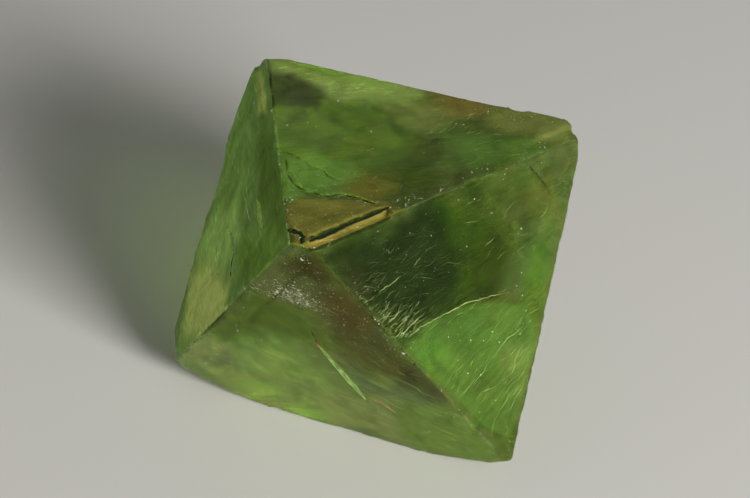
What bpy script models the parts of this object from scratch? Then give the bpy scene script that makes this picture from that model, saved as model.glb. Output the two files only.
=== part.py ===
"""A cleavage octahedron of green fluorite, lying on one of its eight faces.

The stone is one solid. A cube primitive is sliced by the eight cleavage planes,
each a degree or so off the ideal octahedron, and then by the small planes of its
bruised corners. Ledges follow the cleavage: each has a floor parallel to the face
it is cut in and walls parallel to the other cleavage planes. Shell-shaped chips
run along the edges and a few pits lie in the faces.

Metres, +Z up. The stone is centred over the origin and its resting face is z = 0.
"""
import math
import random

import bmesh
import bpy
from mathutils import Matrix, Vector

MM = 0.001
NAME = "fluorite_octahedron"

EDGE = 40.0 * MM                                    # edge of the ideal octahedron
FACE_DISTANCE = EDGE / math.sqrt(6.0)               # its centre to any face
SLOPE = math.degrees(math.acos(1.0 / 3.0))          # angle between touching cleavage normals
BLANK_SIZE = 4.0 * EDGE                             # the cube that everything is sliced from
CUTTER_REACH = 3.0 * MM                             # how far a ledge cutter stands over its face
TREAD_SPREAD = (0.5, 1.5)                           # a tread's width over its usual width
SEED = 23

# Cleavage faces: azimuth and angle from straight up of the outward normal, in
# degrees, as the ideal value plus this stone's lean, and then how much further
# out than the ideal the face lies, in mm.
FACES = {
    "top": (0.0, 0.0, 0.4),
    "resting": (0.0, 180.0, 0.15),
    "right_front": (-30.0 - 0.2, SLOPE, 2.1),
    "left_front": (-150.0 - 1.0, SLOPE - 2.5, -0.15),
    "upper_back": (90.0 + 1.5, SLOPE, -1.05),
    "lower_front": (-90.0 - 1.0, 180.0 - SLOPE + 0.5, -0.85),
    "lower_right": (30.0 + 0.8, 180.0 - SLOPE - 1.4, -0.05),
    "lower_left": (150.0, 180.0 - SLOPE, 2.1),
}

# Bruised corners, a worn length of the upper left edge and the two lifted ends
# of the lower front edge: azimuth and angle from straight up in degrees, and
# distance from the centre in mm.
BRUISES = {
    "upper_left_corner": (110.5, 32.0, 21.55),
    "upper_left_edge": (-166.5, 71.5, 19.9),
    "upper_right_corner": (32.0, 70.5, 25.8),
    "upper_right_lip": (50.0, 51.5, 25.9),
    "upper_right_side": (20.0, 87.0, 22.8),
    "lower_right_corner": (-56.0, 139.5, 24.15),
    "lower_left_corner": (-154.0, 118.0, 25.4),
    "lower_back_corner": (86.0, 124.0, 26.7),
    "lower_edge_left_end": (-104.0, 133.5, 20.4),
    "lower_edge_right_end": (-79.5, 140.0, 20.65),
}

# Ledges: the face, how many terraces, the depth of the lowest and, where there are
# several, the usual width of a tread in mm, and the walls. A wall is parallel to
# another cleavage face, goes through a point of this face (mm to the right and up
# the face, seen from outside), and takes the stone on its outer (+1) or inner (-1)
# side.
LEDGES = {
    "apex_step": ("top", 1, 0.50, 0.0, (
        ("right_front", 4.4, -16.9, 1), ("left_front", 7.5, -13.4, 1))),
    "apex_sliver": ("top", 1, 0.22, 0.0, (
        ("left_front", -0.6, -20.2, 1), ("lower_front", 0.0, -19.6, 1))),
    "far_ridge_step": ("top", 1, 0.22, 0.0, (
        ("right_front", 16.4, 5.6, 1), ("lower_right", 15.2, 4.6, 1))),
    "ridge_strip": ("left_front", 1, 0.25, 0.0, (
        ("top", -10.0, 8.8, 1), ("lower_front", -6.8, 9.5, -1))),
    "left_low_flake": ("left_front", 1, 0.22, 0.0, (
        ("resting", 5.0, -5.6, 1), ("lower_left", 1.5, -6.5, -1))),
    "front_ridge_step": ("right_front", 1, 0.14, 0.0, (
        ("lower_front", -13.2, 4.0, 1), ("resting", -13.0, 2.2, -1))),
    "right_corner_flake": ("right_front", 1, 0.24, 0.0, (
        ("lower_front", 11.2, 8.6, -1), ("top", 12.0, 6.4, 1))),
    "lower_front_tip": ("lower_front", 1, 0.18, 0.0, (
        ("left_front", -5.0, 8.8, 1), ("resting", -5.0, 5.5, -1))),
    "back_plate": ("upper_back", 3, 0.90, 1.1, (
        ("lower_left", 3.5, 0.0, 1), ("top", 6.0, -6.0, -1))),
    "back_step": ("upper_back", 2, 0.36, 0.8, (
        ("top", 0.0, 8.6, 1), ("lower_right", -7.5, 6.8, -1))),
    "back_low_flake": ("upper_back", 2, 0.40, 0.9, (
        ("lower_right", -6.5, -9.0, 1), ("resting", -2.0, -10.5, 1))),
    "lower_right_plate": ("lower_right", 3, 0.80, 1.0, (
        ("upper_back", 5.5, 2.0, 1), ("right_front", 2.0, -4.0, -1))),
    "lower_right_foot": ("lower_right", 2, 0.45, 0.7, (
        ("resting", 0.0, -9.6, 1), ("lower_front", -3.5, -9.6, -1))),
    "lower_left_plate": ("lower_left", 3, 0.70, 0.9, (
        ("resting", 3.0, -5.5, 1), ("left_front", 6.0, -8.0, -1))),
    "lower_left_flake": ("lower_left", 2, 0.40, 0.8, (
        ("upper_back", -9.8, -2.0, 1), ("top", -9.0, 8.0, -1))),
    "underside_plate": ("resting", 3, 0.60, 1.2, (
        ("lower_left", -9.0, 6.0, 1), ("upper_back", -6.0, -3.0, -1))),
}

# Edges that carry chips: the two faces, how many, and the widest chip in mm.
CHIPPED_EDGES = (
    ("top", "left_front", 5, 0.8),
    ("top", "right_front", 6, 0.9),
    ("top", "upper_back", 5, 0.8),
    ("lower_front", "left_front", 4, 0.9),
    ("lower_front", "right_front", 5, 0.9),
    ("lower_front", "resting", 4, 0.8),
    ("left_front", "lower_left", 4, 0.9),
    ("right_front", "lower_right", 5, 0.7),
    ("upper_back", "lower_right", 5, 1.1),
    ("upper_back", "lower_left", 5, 1.2),
    ("resting", "lower_right", 4, 1.0),
    ("resting", "lower_left", 4, 1.1),
)
CHIP_LENGTH = (1.6, 3.4)                            # chip length over its width
CHIP_SINK = (0.25, 0.55)                            # how much of its width is in the stone
EDGE_SPAN = 0.86                                    # share of an edge that is chipped

# Single bites: the two faces of the edge, mm along it from its middle, then
# length, width and depth in mm.
BITES = {
    "left_edge_dent": ("left_front", "lower_left", -3.2, 9.6, 3.8, 0.98),
    "apex_chip": ("lower_front", "right_front", 17.4, 2.6, 1.4, 0.40),
    "tip_bruise": ("top", "lower_front", 2.4, 1.8, 1.6, 0.60),
    "back_bite": ("upper_back", "lower_left", -3.0, 7.5, 2.4, 0.90),
    "foot_bite": ("resting", "lower_right", 5.0, 6.0, 2.0, 0.70),
}

# Grooves: middle point in mm from the stone's centre, azimuth and angle from
# straight up of their run in degrees, and length and width in mm.
GROOVES = {
    "corner_notch": ((19.85, 9.5, 16.6), -67.0, 54.0, 14.0, 1.3),
}

# Shallow pits: the face, mm right and up on it, radius and depth in mm.
PITS = (
    ("top", -9.0, 1.5, 1.0, 0.10),
    ("right_front", -6.0, 1.5, 0.9, 0.10),
    ("right_front", 6.0, -6.5, 1.1, 0.10),
    ("lower_front", -7.0, 12.2, 1.2, 0.12),
    ("upper_back", -3.0, 0.5, 1.6, 0.18),
    ("upper_back", 9.5, 9.0, 1.2, 0.15),
    ("lower_right", -4.0, 3.0, 1.5, 0.16),
    ("lower_left", -3.5, 3.5, 1.5, 0.16),
)

SPHERE_SEGMENTS = 14
SPHERE_RINGS = 8

FLUORITE_GREEN = (0.16, 0.36, 0.07, 1.0)
FLUORITE_ROUGHNESS = 0.22
FLUORITE_IOR = 1.434


def clear_scene():
    """Remove every object so the script can be run again."""
    for obj in list(bpy.data.objects):
        bpy.data.objects.remove(obj, do_unlink=True)


def make_collection(name):
    """Return a new collection linked to the scene."""
    collection = bpy.data.collections.new(name)
    bpy.context.scene.collection.children.link(collection)
    return collection


def direction(azimuth, from_up):
    """Unit vector from an azimuth and an angle from straight up, in degrees."""
    flat = math.sin(math.radians(from_up))
    turn = math.radians(azimuth)
    return Vector((flat * math.cos(turn), flat * math.sin(turn), math.cos(math.radians(from_up))))


def face_normal(face):
    azimuth, from_up, _ = FACES[face]
    return direction(azimuth, from_up)


def face_distance(face):
    return FACE_DISTANCE + FACES[face][2] * MM


def face_axes(face):
    """Unit vectors to the right and up on a face, seen from outside."""
    normal = face_normal(face)
    if abs(normal.z) > 0.9:
        right = Vector((1.0, 0.0, 0.0))
        right = (right - normal * right.dot(normal)).normalized()
    else:
        right = Vector((-normal.y, normal.x, 0.0)).normalized()
    return right, normal.cross(right)


def point_on_face(face, right_mm, up_mm, sink=0.0):
    """Point of a face, at mm to the right and up from the centre's foot on it."""
    right, up = face_axes(face)
    outward = face_normal(face) * (face_distance(face) - sink)
    return outward + right * right_mm * MM + up * up_mm * MM


def edge_line(face_a, face_b):
    """Middle point and unit direction of the line where two faces meet."""
    normal_a = face_normal(face_a)
    normal_b = face_normal(face_b)
    along = normal_a.cross(normal_b).normalized()
    system = Matrix((normal_a, normal_b, along))
    middle = system.inverted() @ Vector((face_distance(face_a), face_distance(face_b), 0.0))
    return middle, along


def slice_off(bm, point, normal):
    """Cut away the part of a convex mesh on the outer side of a plane and cap it."""
    geometry = bm.verts[:] + bm.edges[:] + bm.faces[:]
    cut = bmesh.ops.bisect_plane(
        bm, geom=geometry, dist=1e-7, plane_co=point, plane_no=normal, clear_outer=True)
    rim = [item for item in cut["geom_cut"] if isinstance(item, bmesh.types.BMEdge)]
    if rim:
        bmesh.ops.contextual_create(bm, geom=rim)


def sliced_block(name, planes, collection):
    """A cube primitive sliced down to the convex block inside the given planes."""
    bm = bmesh.new()
    bmesh.ops.create_cube(bm, size=BLANK_SIZE)
    for point, normal in planes:
        slice_off(bm, point, normal)
    bmesh.ops.recalc_face_normals(bm, faces=bm.faces[:])
    mesh = bpy.data.meshes.new(name)
    bm.to_mesh(mesh)
    bm.free()
    block = bpy.data.objects.new(name, mesh)
    collection.objects.link(block)
    return block


def make_stone(collection):
    """The bare octahedron with its bruised corners."""
    planes = []
    for face in FACES:
        normal = face_normal(face)
        planes.append((normal * face_distance(face), normal))
    for azimuth, from_up, distance in BRUISES.values():
        normal = direction(azimuth, from_up)
        planes.append((normal * distance * MM, normal))
    return sliced_block(NAME, planes, collection)


def hide_cutter(cutter):
    cutter.hide_render = True
    cutter.display_type = 'WIRE'


def make_ledge_cutters(name, ledge, rng, collection):
    """The blocks of stone that have split away over a ledge, one for each terrace."""
    face, terraces, depth, tread, walls = ledge
    normal = face_normal(face)
    lid = normal * (face_distance(face) + CUTTER_REACH)
    cutters = []
    set_back = 0.0
    for terrace in range(terraces):
        sunk = depth * (terraces - terrace) / terraces
        floor = normal * (face_distance(face) - sunk * MM)
        planes = [(floor, -normal), (lid, normal)]
        for wall_face, right_mm, up_mm, side in walls:
            outward = side * face_normal(wall_face)
            through = point_on_face(face, right_mm, up_mm) - outward * set_back
            planes.append((through, -outward))
        cutter = sliced_block(f"ledge_{name}_{terrace}", planes, collection)
        hide_cutter(cutter)
        cutters.append(cutter)
        set_back += tread * rng.uniform(*TREAD_SPREAD) * MM
    return cutters


def make_ellipsoid_cutter(name, centre, axes, sizes, collection):
    """A stretched sphere whose three axes and half sizes are given."""
    bm = bmesh.new()
    bmesh.ops.create_uvsphere(
        bm, u_segments=SPHERE_SEGMENTS, v_segments=SPHERE_RINGS, radius=1.0)
    turn = Matrix(axes).transposed().to_4x4()
    stretch = Matrix.Diagonal((sizes[0], sizes[1], sizes[2], 1.0))
    bmesh.ops.transform(bm, matrix=turn @ stretch, verts=bm.verts[:])
    mesh = bpy.data.meshes.new(name)
    bm.to_mesh(mesh)
    bm.free()
    cutter = bpy.data.objects.new(name, mesh)
    cutter.location = centre
    collection.objects.link(cutter)
    hide_cutter(cutter)
    return cutter


def make_edge_cutter(name, face_a, face_b, along_mm, sizes, collection):
    """A chip at a place along an edge; sizes are its length, width and depth."""
    middle, along = edge_line(face_a, face_b)
    outward = (face_normal(face_a) + face_normal(face_b)).normalized()
    across = outward.cross(along).normalized()
    length, width, depth = sizes
    place = middle + along * along_mm * MM + outward * (width / 2.0 - depth)
    half = (length / 2.0, width / 2.0, width / 2.0)
    return make_ellipsoid_cutter(name, place, (along, across, outward), half, collection)


def edge_reach(face_a, face_b):
    """Distance from an edge line's middle to its two ends on the octahedron."""
    middle, along = edge_line(face_a, face_b)
    low, high = -BLANK_SIZE, BLANK_SIZE
    for face in FACES:
        if face in (face_a, face_b):
            continue
        slant = face_normal(face).dot(along)
        room = face_distance(face) - face_normal(face).dot(middle)
        if abs(slant) < 0.05:
            continue
        if slant > 0.0:
            high = min(high, room / slant)
        else:
            low = max(low, room / slant)
    return low, high


def make_edge_chips(rng, collection):
    """Shell-shaped chips scattered along every edge."""
    cutters = []
    for face_a, face_b, count, widest in CHIPPED_EDGES:
        low, high = edge_reach(face_a, face_b)
        centre = (low + high) / 2.0
        span = (high - low) * EDGE_SPAN
        for index in range(count):
            share = (index + rng.uniform(0.15, 0.85)) / count - 0.5
            width = widest * rng.uniform(0.55, 1.0) * MM
            length = width * rng.uniform(*CHIP_LENGTH)
            depth = width * rng.uniform(*CHIP_SINK)
            name = f"chip_{face_a}_{face_b}_{index}"
            place = (centre + share * span) / MM
            sizes = (length, width, depth)
            cutters.append(make_edge_cutter(name, face_a, face_b, place, sizes, collection))
    return cutters


def make_bites(collection):
    """The larger single bites out of edges and tips."""
    cutters = []
    for name, (face_a, face_b, along_mm, length, width, depth) in BITES.items():
        sizes = (length * MM, width * MM, depth * MM)
        cutters.append(make_edge_cutter(name, face_a, face_b, along_mm, sizes, collection))
    return cutters


def make_grooves(collection):
    """Round-bottomed grooves that run across a corner."""
    cutters = []
    for name, (middle, azimuth, from_up, length, width) in GROOVES.items():
        centre = Vector(middle) * MM
        along = direction(azimuth, from_up)
        across = centre.cross(along).normalized()
        outward = along.cross(across)
        half = (length * MM / 2.0, width * MM / 2.0, width * MM / 2.0)
        cutters.append(make_ellipsoid_cutter(
            name, centre, (along, across, outward), half, collection))
    return cutters


def make_pits(collection):
    """Shallow dimples in the faces."""
    cutters = []
    for index, (face, right_mm, up_mm, radius, depth) in enumerate(PITS):
        right, up = face_axes(face)
        normal = face_normal(face)
        thickness = 2.0 * depth * MM
        place = point_on_face(face, right_mm, up_mm) + normal * (thickness - depth * MM)
        half = (radius * MM, 0.7 * radius * MM, thickness)
        cutters.append(make_ellipsoid_cutter(
            f"pit_{index}", place, (right, up, normal), half, collection))
    return cutters


def cut_away(stone, tools):
    """Subtract every cutter of a collection from the stone in one Boolean."""
    boolean = stone.modifiers.new("split_and_chipped", 'BOOLEAN')
    boolean.operation = 'DIFFERENCE'
    boolean.solver = 'EXACT'
    boolean.operand_type = 'COLLECTION'
    boolean.collection = tools


def fluorite_material():
    """Clear green stone with a satin skin."""
    material = bpy.data.materials.new("green_fluorite")
    material.use_nodes = True
    shader = material.node_tree.nodes["Principled BSDF"]
    shader.inputs["Base Color"].default_value = FLUORITE_GREEN
    shader.inputs["Roughness"].default_value = FLUORITE_ROUGHNESS
    shader.inputs["Metallic"].default_value = 0.0
    shader.inputs["IOR"].default_value = FLUORITE_IOR
    shader.inputs["Transmission Weight"].default_value = 0.6
    return material


def centre_over_origin(stone, cutters):
    """Move the stone and its cutters so the resting face is z = 0, centred."""
    bpy.context.view_layer.update()
    corners = [vertex.co for vertex in stone.data.vertices]
    low = Vector(min(corner[axis] for corner in corners) for axis in range(3))
    high = Vector(max(corner[axis] for corner in corners) for axis in range(3))
    shift = Vector((-(low.x + high.x) / 2.0, -(low.y + high.y) / 2.0, -low.z))
    for obj in [stone] + cutters:
        obj.location += shift


def build():
    clear_scene()
    stones = make_collection("green_fluorite_octahedron")
    tools = make_collection("cutters")
    rng = random.Random(SEED)
    stone = make_stone(stones)
    stone.data.materials.append(fluorite_material())
    cutters = []
    for name, ledge in LEDGES.items():
        cutters += make_ledge_cutters(name, ledge, rng, tools)
    cutters += make_edge_chips(rng, tools)
    cutters += make_bites(tools)
    cutters += make_grooves(tools)
    cutters += make_pits(tools)
    centre_over_origin(stone, cutters)
    cut_away(stone, tools)


build()
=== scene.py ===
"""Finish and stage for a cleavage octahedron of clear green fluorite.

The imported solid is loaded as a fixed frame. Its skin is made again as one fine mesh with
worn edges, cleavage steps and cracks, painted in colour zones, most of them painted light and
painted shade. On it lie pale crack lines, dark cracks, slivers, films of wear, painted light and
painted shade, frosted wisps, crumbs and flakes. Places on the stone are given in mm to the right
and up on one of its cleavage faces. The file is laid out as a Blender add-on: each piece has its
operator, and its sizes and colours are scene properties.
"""

import math
import random
from typing import NamedTuple

import bmesh
import bpy
import numpy as np
from bpy.props import FloatProperty, FloatVectorProperty, IntProperty, PointerProperty
from bpy.types import Operator, Panel, PropertyGroup
from mathutils import Matrix, Vector
from mathutils.bvhtree import BVHTree


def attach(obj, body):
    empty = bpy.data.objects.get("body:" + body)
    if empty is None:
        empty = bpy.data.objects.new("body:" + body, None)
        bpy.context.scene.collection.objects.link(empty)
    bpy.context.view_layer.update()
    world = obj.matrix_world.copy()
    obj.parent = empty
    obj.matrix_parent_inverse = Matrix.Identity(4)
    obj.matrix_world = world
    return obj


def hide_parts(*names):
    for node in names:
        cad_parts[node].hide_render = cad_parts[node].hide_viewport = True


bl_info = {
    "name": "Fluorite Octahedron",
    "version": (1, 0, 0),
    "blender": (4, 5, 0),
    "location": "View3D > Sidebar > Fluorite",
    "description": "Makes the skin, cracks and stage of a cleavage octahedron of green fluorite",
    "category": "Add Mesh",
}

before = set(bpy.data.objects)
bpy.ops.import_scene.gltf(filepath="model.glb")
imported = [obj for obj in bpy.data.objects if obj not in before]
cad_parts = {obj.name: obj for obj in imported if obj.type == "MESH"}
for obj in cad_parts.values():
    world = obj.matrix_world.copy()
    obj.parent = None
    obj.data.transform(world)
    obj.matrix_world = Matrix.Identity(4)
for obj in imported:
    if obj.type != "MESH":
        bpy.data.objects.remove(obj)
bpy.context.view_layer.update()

MM = 0.001
STONE = "fluorite_octahedron"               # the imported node
BODY = "root"
SKIN = "green_stone"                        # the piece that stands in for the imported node
HEART = Vector((0.05, 0.42, 16.48)) * MM    # the point that every face is measured from
IOR = 1.434                                 # fluorite's

# Ideal cleavage normals: azimuth and angle from straight up, in degrees.
SLOPE = math.degrees(math.acos(1.0 / 3.0))
IDEAL_FACES = {
    "top": (0.0, 0.0),
    "resting": (0.0, 180.0),
    "right_front": (-30.0, SLOPE),
    "left_front": (-150.0, SLOPE),
    "upper_back": (90.0, SLOPE),
    "lower_front": (-90.0, 180.0 - SLOPE),
    "lower_right": (30.0, 180.0 - SLOPE),
    "lower_left": (150.0, 180.0 - SLOPE),
}
SAME_FACE = 0.99        # least cosine between a facet and the ideal face that it belongs to
LEVEL_FACE = 0.9        # least upward share of the normal of a face that lies level


def direction(azimuth, from_up):
    """The unit vector at an azimuth and an angle from straight up, both in degrees."""
    flat = math.sin(math.radians(from_up))
    turn = math.radians(azimuth)
    return Vector((flat * math.cos(turn), flat * math.sin(turn), math.cos(math.radians(from_up))))


class Face:
    """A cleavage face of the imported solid: its plane and its right and up axes."""

    def __init__(self, name, mesh):
        ideal = direction(*IDEAL_FACES[name])
        normal = Vector((0.0, 0.0, 0.0))
        for polygon in mesh.polygons:
            if polygon.normal.dot(ideal) > SAME_FACE:
                normal += polygon.normal * polygon.area
        self.normal = normal.normalized()
        self.distance = max((vertex.co - HEART).dot(self.normal) for vertex in mesh.vertices)
        if abs(self.normal.z) > LEVEL_FACE:
            right = Vector((1.0, 0.0, 0.0))
            self.right = (right - self.normal * right.dot(self.normal)).normalized()
        else:
            self.right = Vector((-self.normal.y, self.normal.x, 0.0)).normalized()
        self.up = self.normal.cross(self.right)

    def point(self, right_mm, up_mm, sunk_mm=0.0):
        """The point at a place on the face, sunk under its plane by some mm."""
        out = self.normal * (self.distance - sunk_mm * MM)
        return HEART + out + self.right * right_mm * MM + self.up * up_mm * MM


FACES = {name: Face(name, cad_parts[STONE].data) for name in IDEAL_FACES}


# ---------------------------------------------------------------- camera and stage
SENSOR_WIDTH = 36.0
CAMERA_CLIP = 0.01
AIM_RIGHT, AIM_UP = 0.24, 0.87              # where the picture's middle lies from the heart, in mm
FLOOR_REACH = 1.5
FLOOR_DROP = 0.02 * MM
KEY_PLACE = (0.715, -0.430, 0.353)
KEY_SIZE = 0.30
KEY_COLOR = (1.0, 0.97, 0.92)
ROOM_COLOR = (1.0, 0.99, 0.95)
LIGHT_BOUNCES = 24
BRIGHTEST_BOUNCE = 6.0


class StageSettings(PropertyGroup):
    """The camera, the floor and the lights."""
    azimuth: FloatProperty(name="View azimuth", description="Camera's turn around the stone",
                           default=math.radians(22.95), subtype='ANGLE')
    elevation: FloatProperty(name="View elevation", description="Camera's height over the floor",
                             default=math.radians(35.8), subtype='ANGLE')
    roll: FloatProperty(name="View roll", description="Camera's lean", default=math.radians(0.67),
                        subtype='ANGLE')
    distance: FloatProperty(name="View distance", description="Camera to the stone's heart",
                            default=0.33, unit='LENGTH')
    lens: FloatProperty(name="Lens", description="Focal length in mm", default=142.56)
    floor_color: FloatVectorProperty(name="Floor", description="Colour of the floor", size=3,
                                     subtype='COLOR', default=(0.78, 0.78, 0.76))
    floor_roughness: FloatProperty(name="Floor roughness", description="How matt the floor is",
                                   default=0.6, subtype='FACTOR')
    key_power: FloatProperty(name="Key light", description="Power of the main soft light in watts",
                             default=11.0)
    sky_strength: FloatProperty(name="Room light", description="Strength of the even room light",
                                default=0.14)


def add_to_scene(name, data):
    """A new object in the scene."""
    thing = bpy.data.objects.new(name, data)
    bpy.context.scene.collection.objects.link(thing)
    return thing


def add_camera(settings):
    """The camera, turned round the stone's heart and leant by the roll."""
    back = Vector((math.sin(settings.azimuth) * math.cos(settings.elevation),
                   -math.cos(settings.azimuth) * math.cos(settings.elevation),
                   math.sin(settings.elevation)))
    level = Vector((math.cos(settings.azimuth), math.sin(settings.azimuth), 0.0))
    upright = back.cross(level)
    right = level * math.cos(settings.roll) + upright * math.sin(settings.roll)
    up = upright * math.cos(settings.roll) - level * math.sin(settings.roll)
    aim = HEART + right * AIM_RIGHT * MM + up * AIM_UP * MM
    data = bpy.data.cameras.new("camera")
    data.sensor_width = SENSOR_WIDTH
    data.lens = settings.lens
    data.clip_start = CAMERA_CLIP
    camera = add_to_scene("camera", data)
    turn = Matrix((right, up, back)).transposed().to_4x4()
    camera.matrix_world = Matrix.Translation(aim + back * settings.distance) @ turn
    bpy.context.scene.camera = camera


def add_floor(settings):
    """The pale floor that the stone lies on."""
    bm = bmesh.new()
    bmesh.ops.create_grid(bm, x_segments=1, y_segments=1, size=FLOOR_REACH)
    mesh = bpy.data.meshes.new("floor")
    bm.to_mesh(mesh)
    bm.free()
    floor = add_to_scene("floor", mesh)
    floor.location.z = -FLOOR_DROP
    material = bpy.data.materials.new("pale_floor")
    material.use_nodes = True
    shader = material.node_tree.nodes["Principled BSDF"]
    shader.inputs["Base Color"].default_value = (*settings.floor_color, 1.0)
    shader.inputs["Roughness"].default_value = settings.floor_roughness
    mesh.materials.append(material)


def add_lights(settings):
    """One soft key light and an even room light."""
    light = bpy.data.lights.new("key_light", 'AREA')
    light.shape = 'SQUARE'
    light.size = KEY_SIZE
    light.energy = settings.key_power
    light.color = KEY_COLOR
    lamp = add_to_scene("key_light", light)
    lamp.location = KEY_PLACE
    lamp.rotation_euler = (HEART - Vector(KEY_PLACE)).to_track_quat('-Z', 'Y').to_euler()
    world = bpy.data.worlds.new("soft_room")
    world.use_nodes = True
    background = world.node_tree.nodes["Background"]
    background.inputs["Color"].default_value = (*ROOM_COLOR, 1.0)
    background.inputs["Strength"].default_value = settings.sky_strength
    bpy.context.scene.world = world


class FLUORITE_OT_stage(Operator):
    """Pale floor, soft studio lights and the camera"""
    bl_idname = "fluorite.stage"
    bl_label = "Make the Stage"

    def execute(self, context):
        settings = context.scene.fluorite_stage
        add_camera(settings)
        add_floor(settings)
        add_lights(settings)
        context.scene.view_settings.view_transform = 'Standard'
        context.scene.cycles.max_bounces = LIGHT_BOUNCES
        context.scene.cycles.transmission_bounces = LIGHT_BOUNCES
        context.scene.cycles.sample_clamp_indirect = BRIGHTEST_BOUNCE
        return {'FINISHED'}


# ---------------------------------------------------------------- noise and outlines on a face
NOISE_TABLE = 4096
NOISE_LAYERS = 3
CELL_STEPS = (73856093, 19349663, 83492791)     # spread the cells of a noise over its table
NOISE_SHIFT = 100.0                             # keeps the cells of the stone's places above zero

# First number of each use's random tables.
SEEDS = {"wander": 11, "river": 40, "ripple": 45, "crumble": 71, "frost": 91, "rim": 93, "swell": 300,
         "zone": 500, "film": 700}


def smooth_step(low, high, values):
    """Shares that rise softly from 0 at low to 1 at high."""
    share = np.clip((values - low) / (high - low), 0.0, 1.0)
    return share * share * (3.0 - 2.0 * share)


def value_noise(points, size, seed):
    """Smooth random values from -1 to 1 at points in mm; size is the lumps' size in mm."""
    table = np.random.default_rng(seed).uniform(-1.0, 1.0, NOISE_TABLE)
    scaled = points / size + NOISE_SHIFT
    cell = np.floor(scaled).astype(np.int64)
    share = scaled - cell
    share = share * share * (3.0 - 2.0 * share)
    total = np.zeros(len(points))
    for corner in range(2 ** points.shape[1]):
        weight = np.ones(len(points))
        place = np.zeros(len(points), np.int64)
        for axis, step in enumerate(CELL_STEPS[:points.shape[1]]):
            bit = corner >> axis & 1
            weight *= share[:, axis] if bit else 1.0 - share[:, axis]
            place ^= (cell[:, axis] + bit) * step
        total += weight * table[place % NOISE_TABLE]
    return total


def layered_noise(points, size, seed):
    """Value noise in layers, each half as large and half as strong as the one before."""
    total = np.zeros(len(points))
    for layer in range(NOISE_LAYERS):
        total += value_noise(points, size / 2 ** layer, seed + layer) / 2 ** layer
    return total / (2.0 - 0.5 ** (NOISE_LAYERS - 1))


def line_distance(points, line, closed=False):
    """Distance in mm from points on a face to a line of corners on it, and the share along it."""
    corners = np.array(line, float)
    ends = np.roll(corners, -1, axis=0) if closed else corners[1:]
    starts = corners if closed else corners[:-1]
    lengths = np.linalg.norm(ends - starts, axis=1)
    before = np.concatenate(([0.0], np.cumsum(lengths)))
    nearest = np.full(len(points), 1e9)
    along = np.zeros(len(points))
    for index, (start, end) in enumerate(zip(starts, ends)):
        step = end - start
        share = np.clip((points - start) @ step / (step @ step), 0.0, 1.0)
        gap = np.linalg.norm(points - start - share[:, None] * step, axis=1)
        closer = gap < nearest
        nearest[closer] = gap[closer]
        along[closer] = (before[index] + share[closer] * lengths[index]) / before[-1]
    return nearest, along


def patch_depth(points, corners):
    """How far inside a patch of a face each point lies, in mm, less than zero outside."""
    gap, _ = line_distance(points, corners, closed=True)
    inside = np.zeros(len(points), bool)
    for (x0, y0), (x1, y1) in zip(corners, corners[1:] + corners[:1]):
        crosses = (y0 > points[:, 1]) != (y1 > points[:, 1])
        reach = (x1 - x0) * (points[:, 1] - y0) / (y1 - y0 + 1e-12) + x0
        inside ^= crosses & (points[:, 0] < reach)
    return np.where(inside, gap, -gap)


# ---------------------------------------------------------------- the stone
class StoneSettings(PropertyGroup):
    """The stone's skin and its clear body."""
    grain: FloatProperty(name="Mesh grain", description="Size of the first mesh's facets",
                         default=0.38 * MM, unit='LENGTH')
    fine_reach: FloatProperty(name="Fine reach", description="How far the finer facets reach from an edge",
                              default=0.40 * MM, unit='LENGTH')
    wear: FloatProperty(name="Edge wear", description="How deep the edges are crumbled",
                        default=0.16 * MM, unit='LENGTH')
    color: FloatVectorProperty(name="Stone", description="Colour of the stone's skin", size=3,
                               subtype='COLOR', default=(0.76, 0.92, 0.28))
    rim_color: FloatVectorProperty(name="Rims", description="Colour of the worn edges", size=3,
                                   subtype='COLOR', default=(0.76, 0.86, 0.50))
    depth_color: FloatVectorProperty(name="Depth", description="Colour that thick stone takes", size=3,
                                     subtype='COLOR', default=(0.54, 0.70, 0.0))
    density: FloatProperty(name="Density", description="Absorption in the stone, per metre", default=66.0)
    gleam_color: FloatVectorProperty(name="Gleam", description="Colour that reflections take", size=3,
                                     subtype='COLOR', default=(0.62, 0.78, 0.25))
    clearness: FloatProperty(name="Clearness", description="How much light goes into the stone",
                             default=0.93, subtype='FACTOR')
    roughness: FloatProperty(name="Satin", description="Roughness of the clean skin", default=0.18,
                             subtype='FACTOR')
    frost_roughness: FloatProperty(name="Frost", description="Roughness of the frosted skin", default=0.7,
                                   subtype='FACTOR')


class Zone(NamedTuple):
    """A zone of the skin's tint, which paints colour, light or shade: its border's softness and wander are in
    mm.
    """
    face: str
    soft: float
    wander: float
    color: tuple
    corners: tuple


class Crack(NamedTuple):
    """A crack or groove cut in the skin; sizes are in mm."""
    face: str
    width: float
    depth: float
    line: tuple


class Ripples(NamedTuple):
    """A feathery patch of ripples; its softness and their height and spacing are in mm."""
    face: str
    soft: float
    height: float
    spacing: float
    corners: tuple


ZONE_WANDER = 1.6                       # how far a noise of 1 moves a zone's border, in its wanders
SWELL_DEPTH, SWELL_SIZE = 0.05, 6.0     # the faces' slow swell, in mm
CRUMBLE_SIZE = 1.1                      # the lumps of the crumbled edges, in mm
RESTING_RELIEF = 0.3                    # the share of the relief that the resting face keeps
RIM_TINT, RIM_FROST = 0.28, 0.35        # how much colour and frost the worn rims take
FLOW_GAP = 9.0                          # keeps the grain's texture apart from face to face


class Grain(NamedTuple):
    """A face's grain: its run in degrees, its bend per mm, and its steps' spacing and height in mm."""
    run: float
    bend: float
    spacing: float
    height: float


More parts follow.
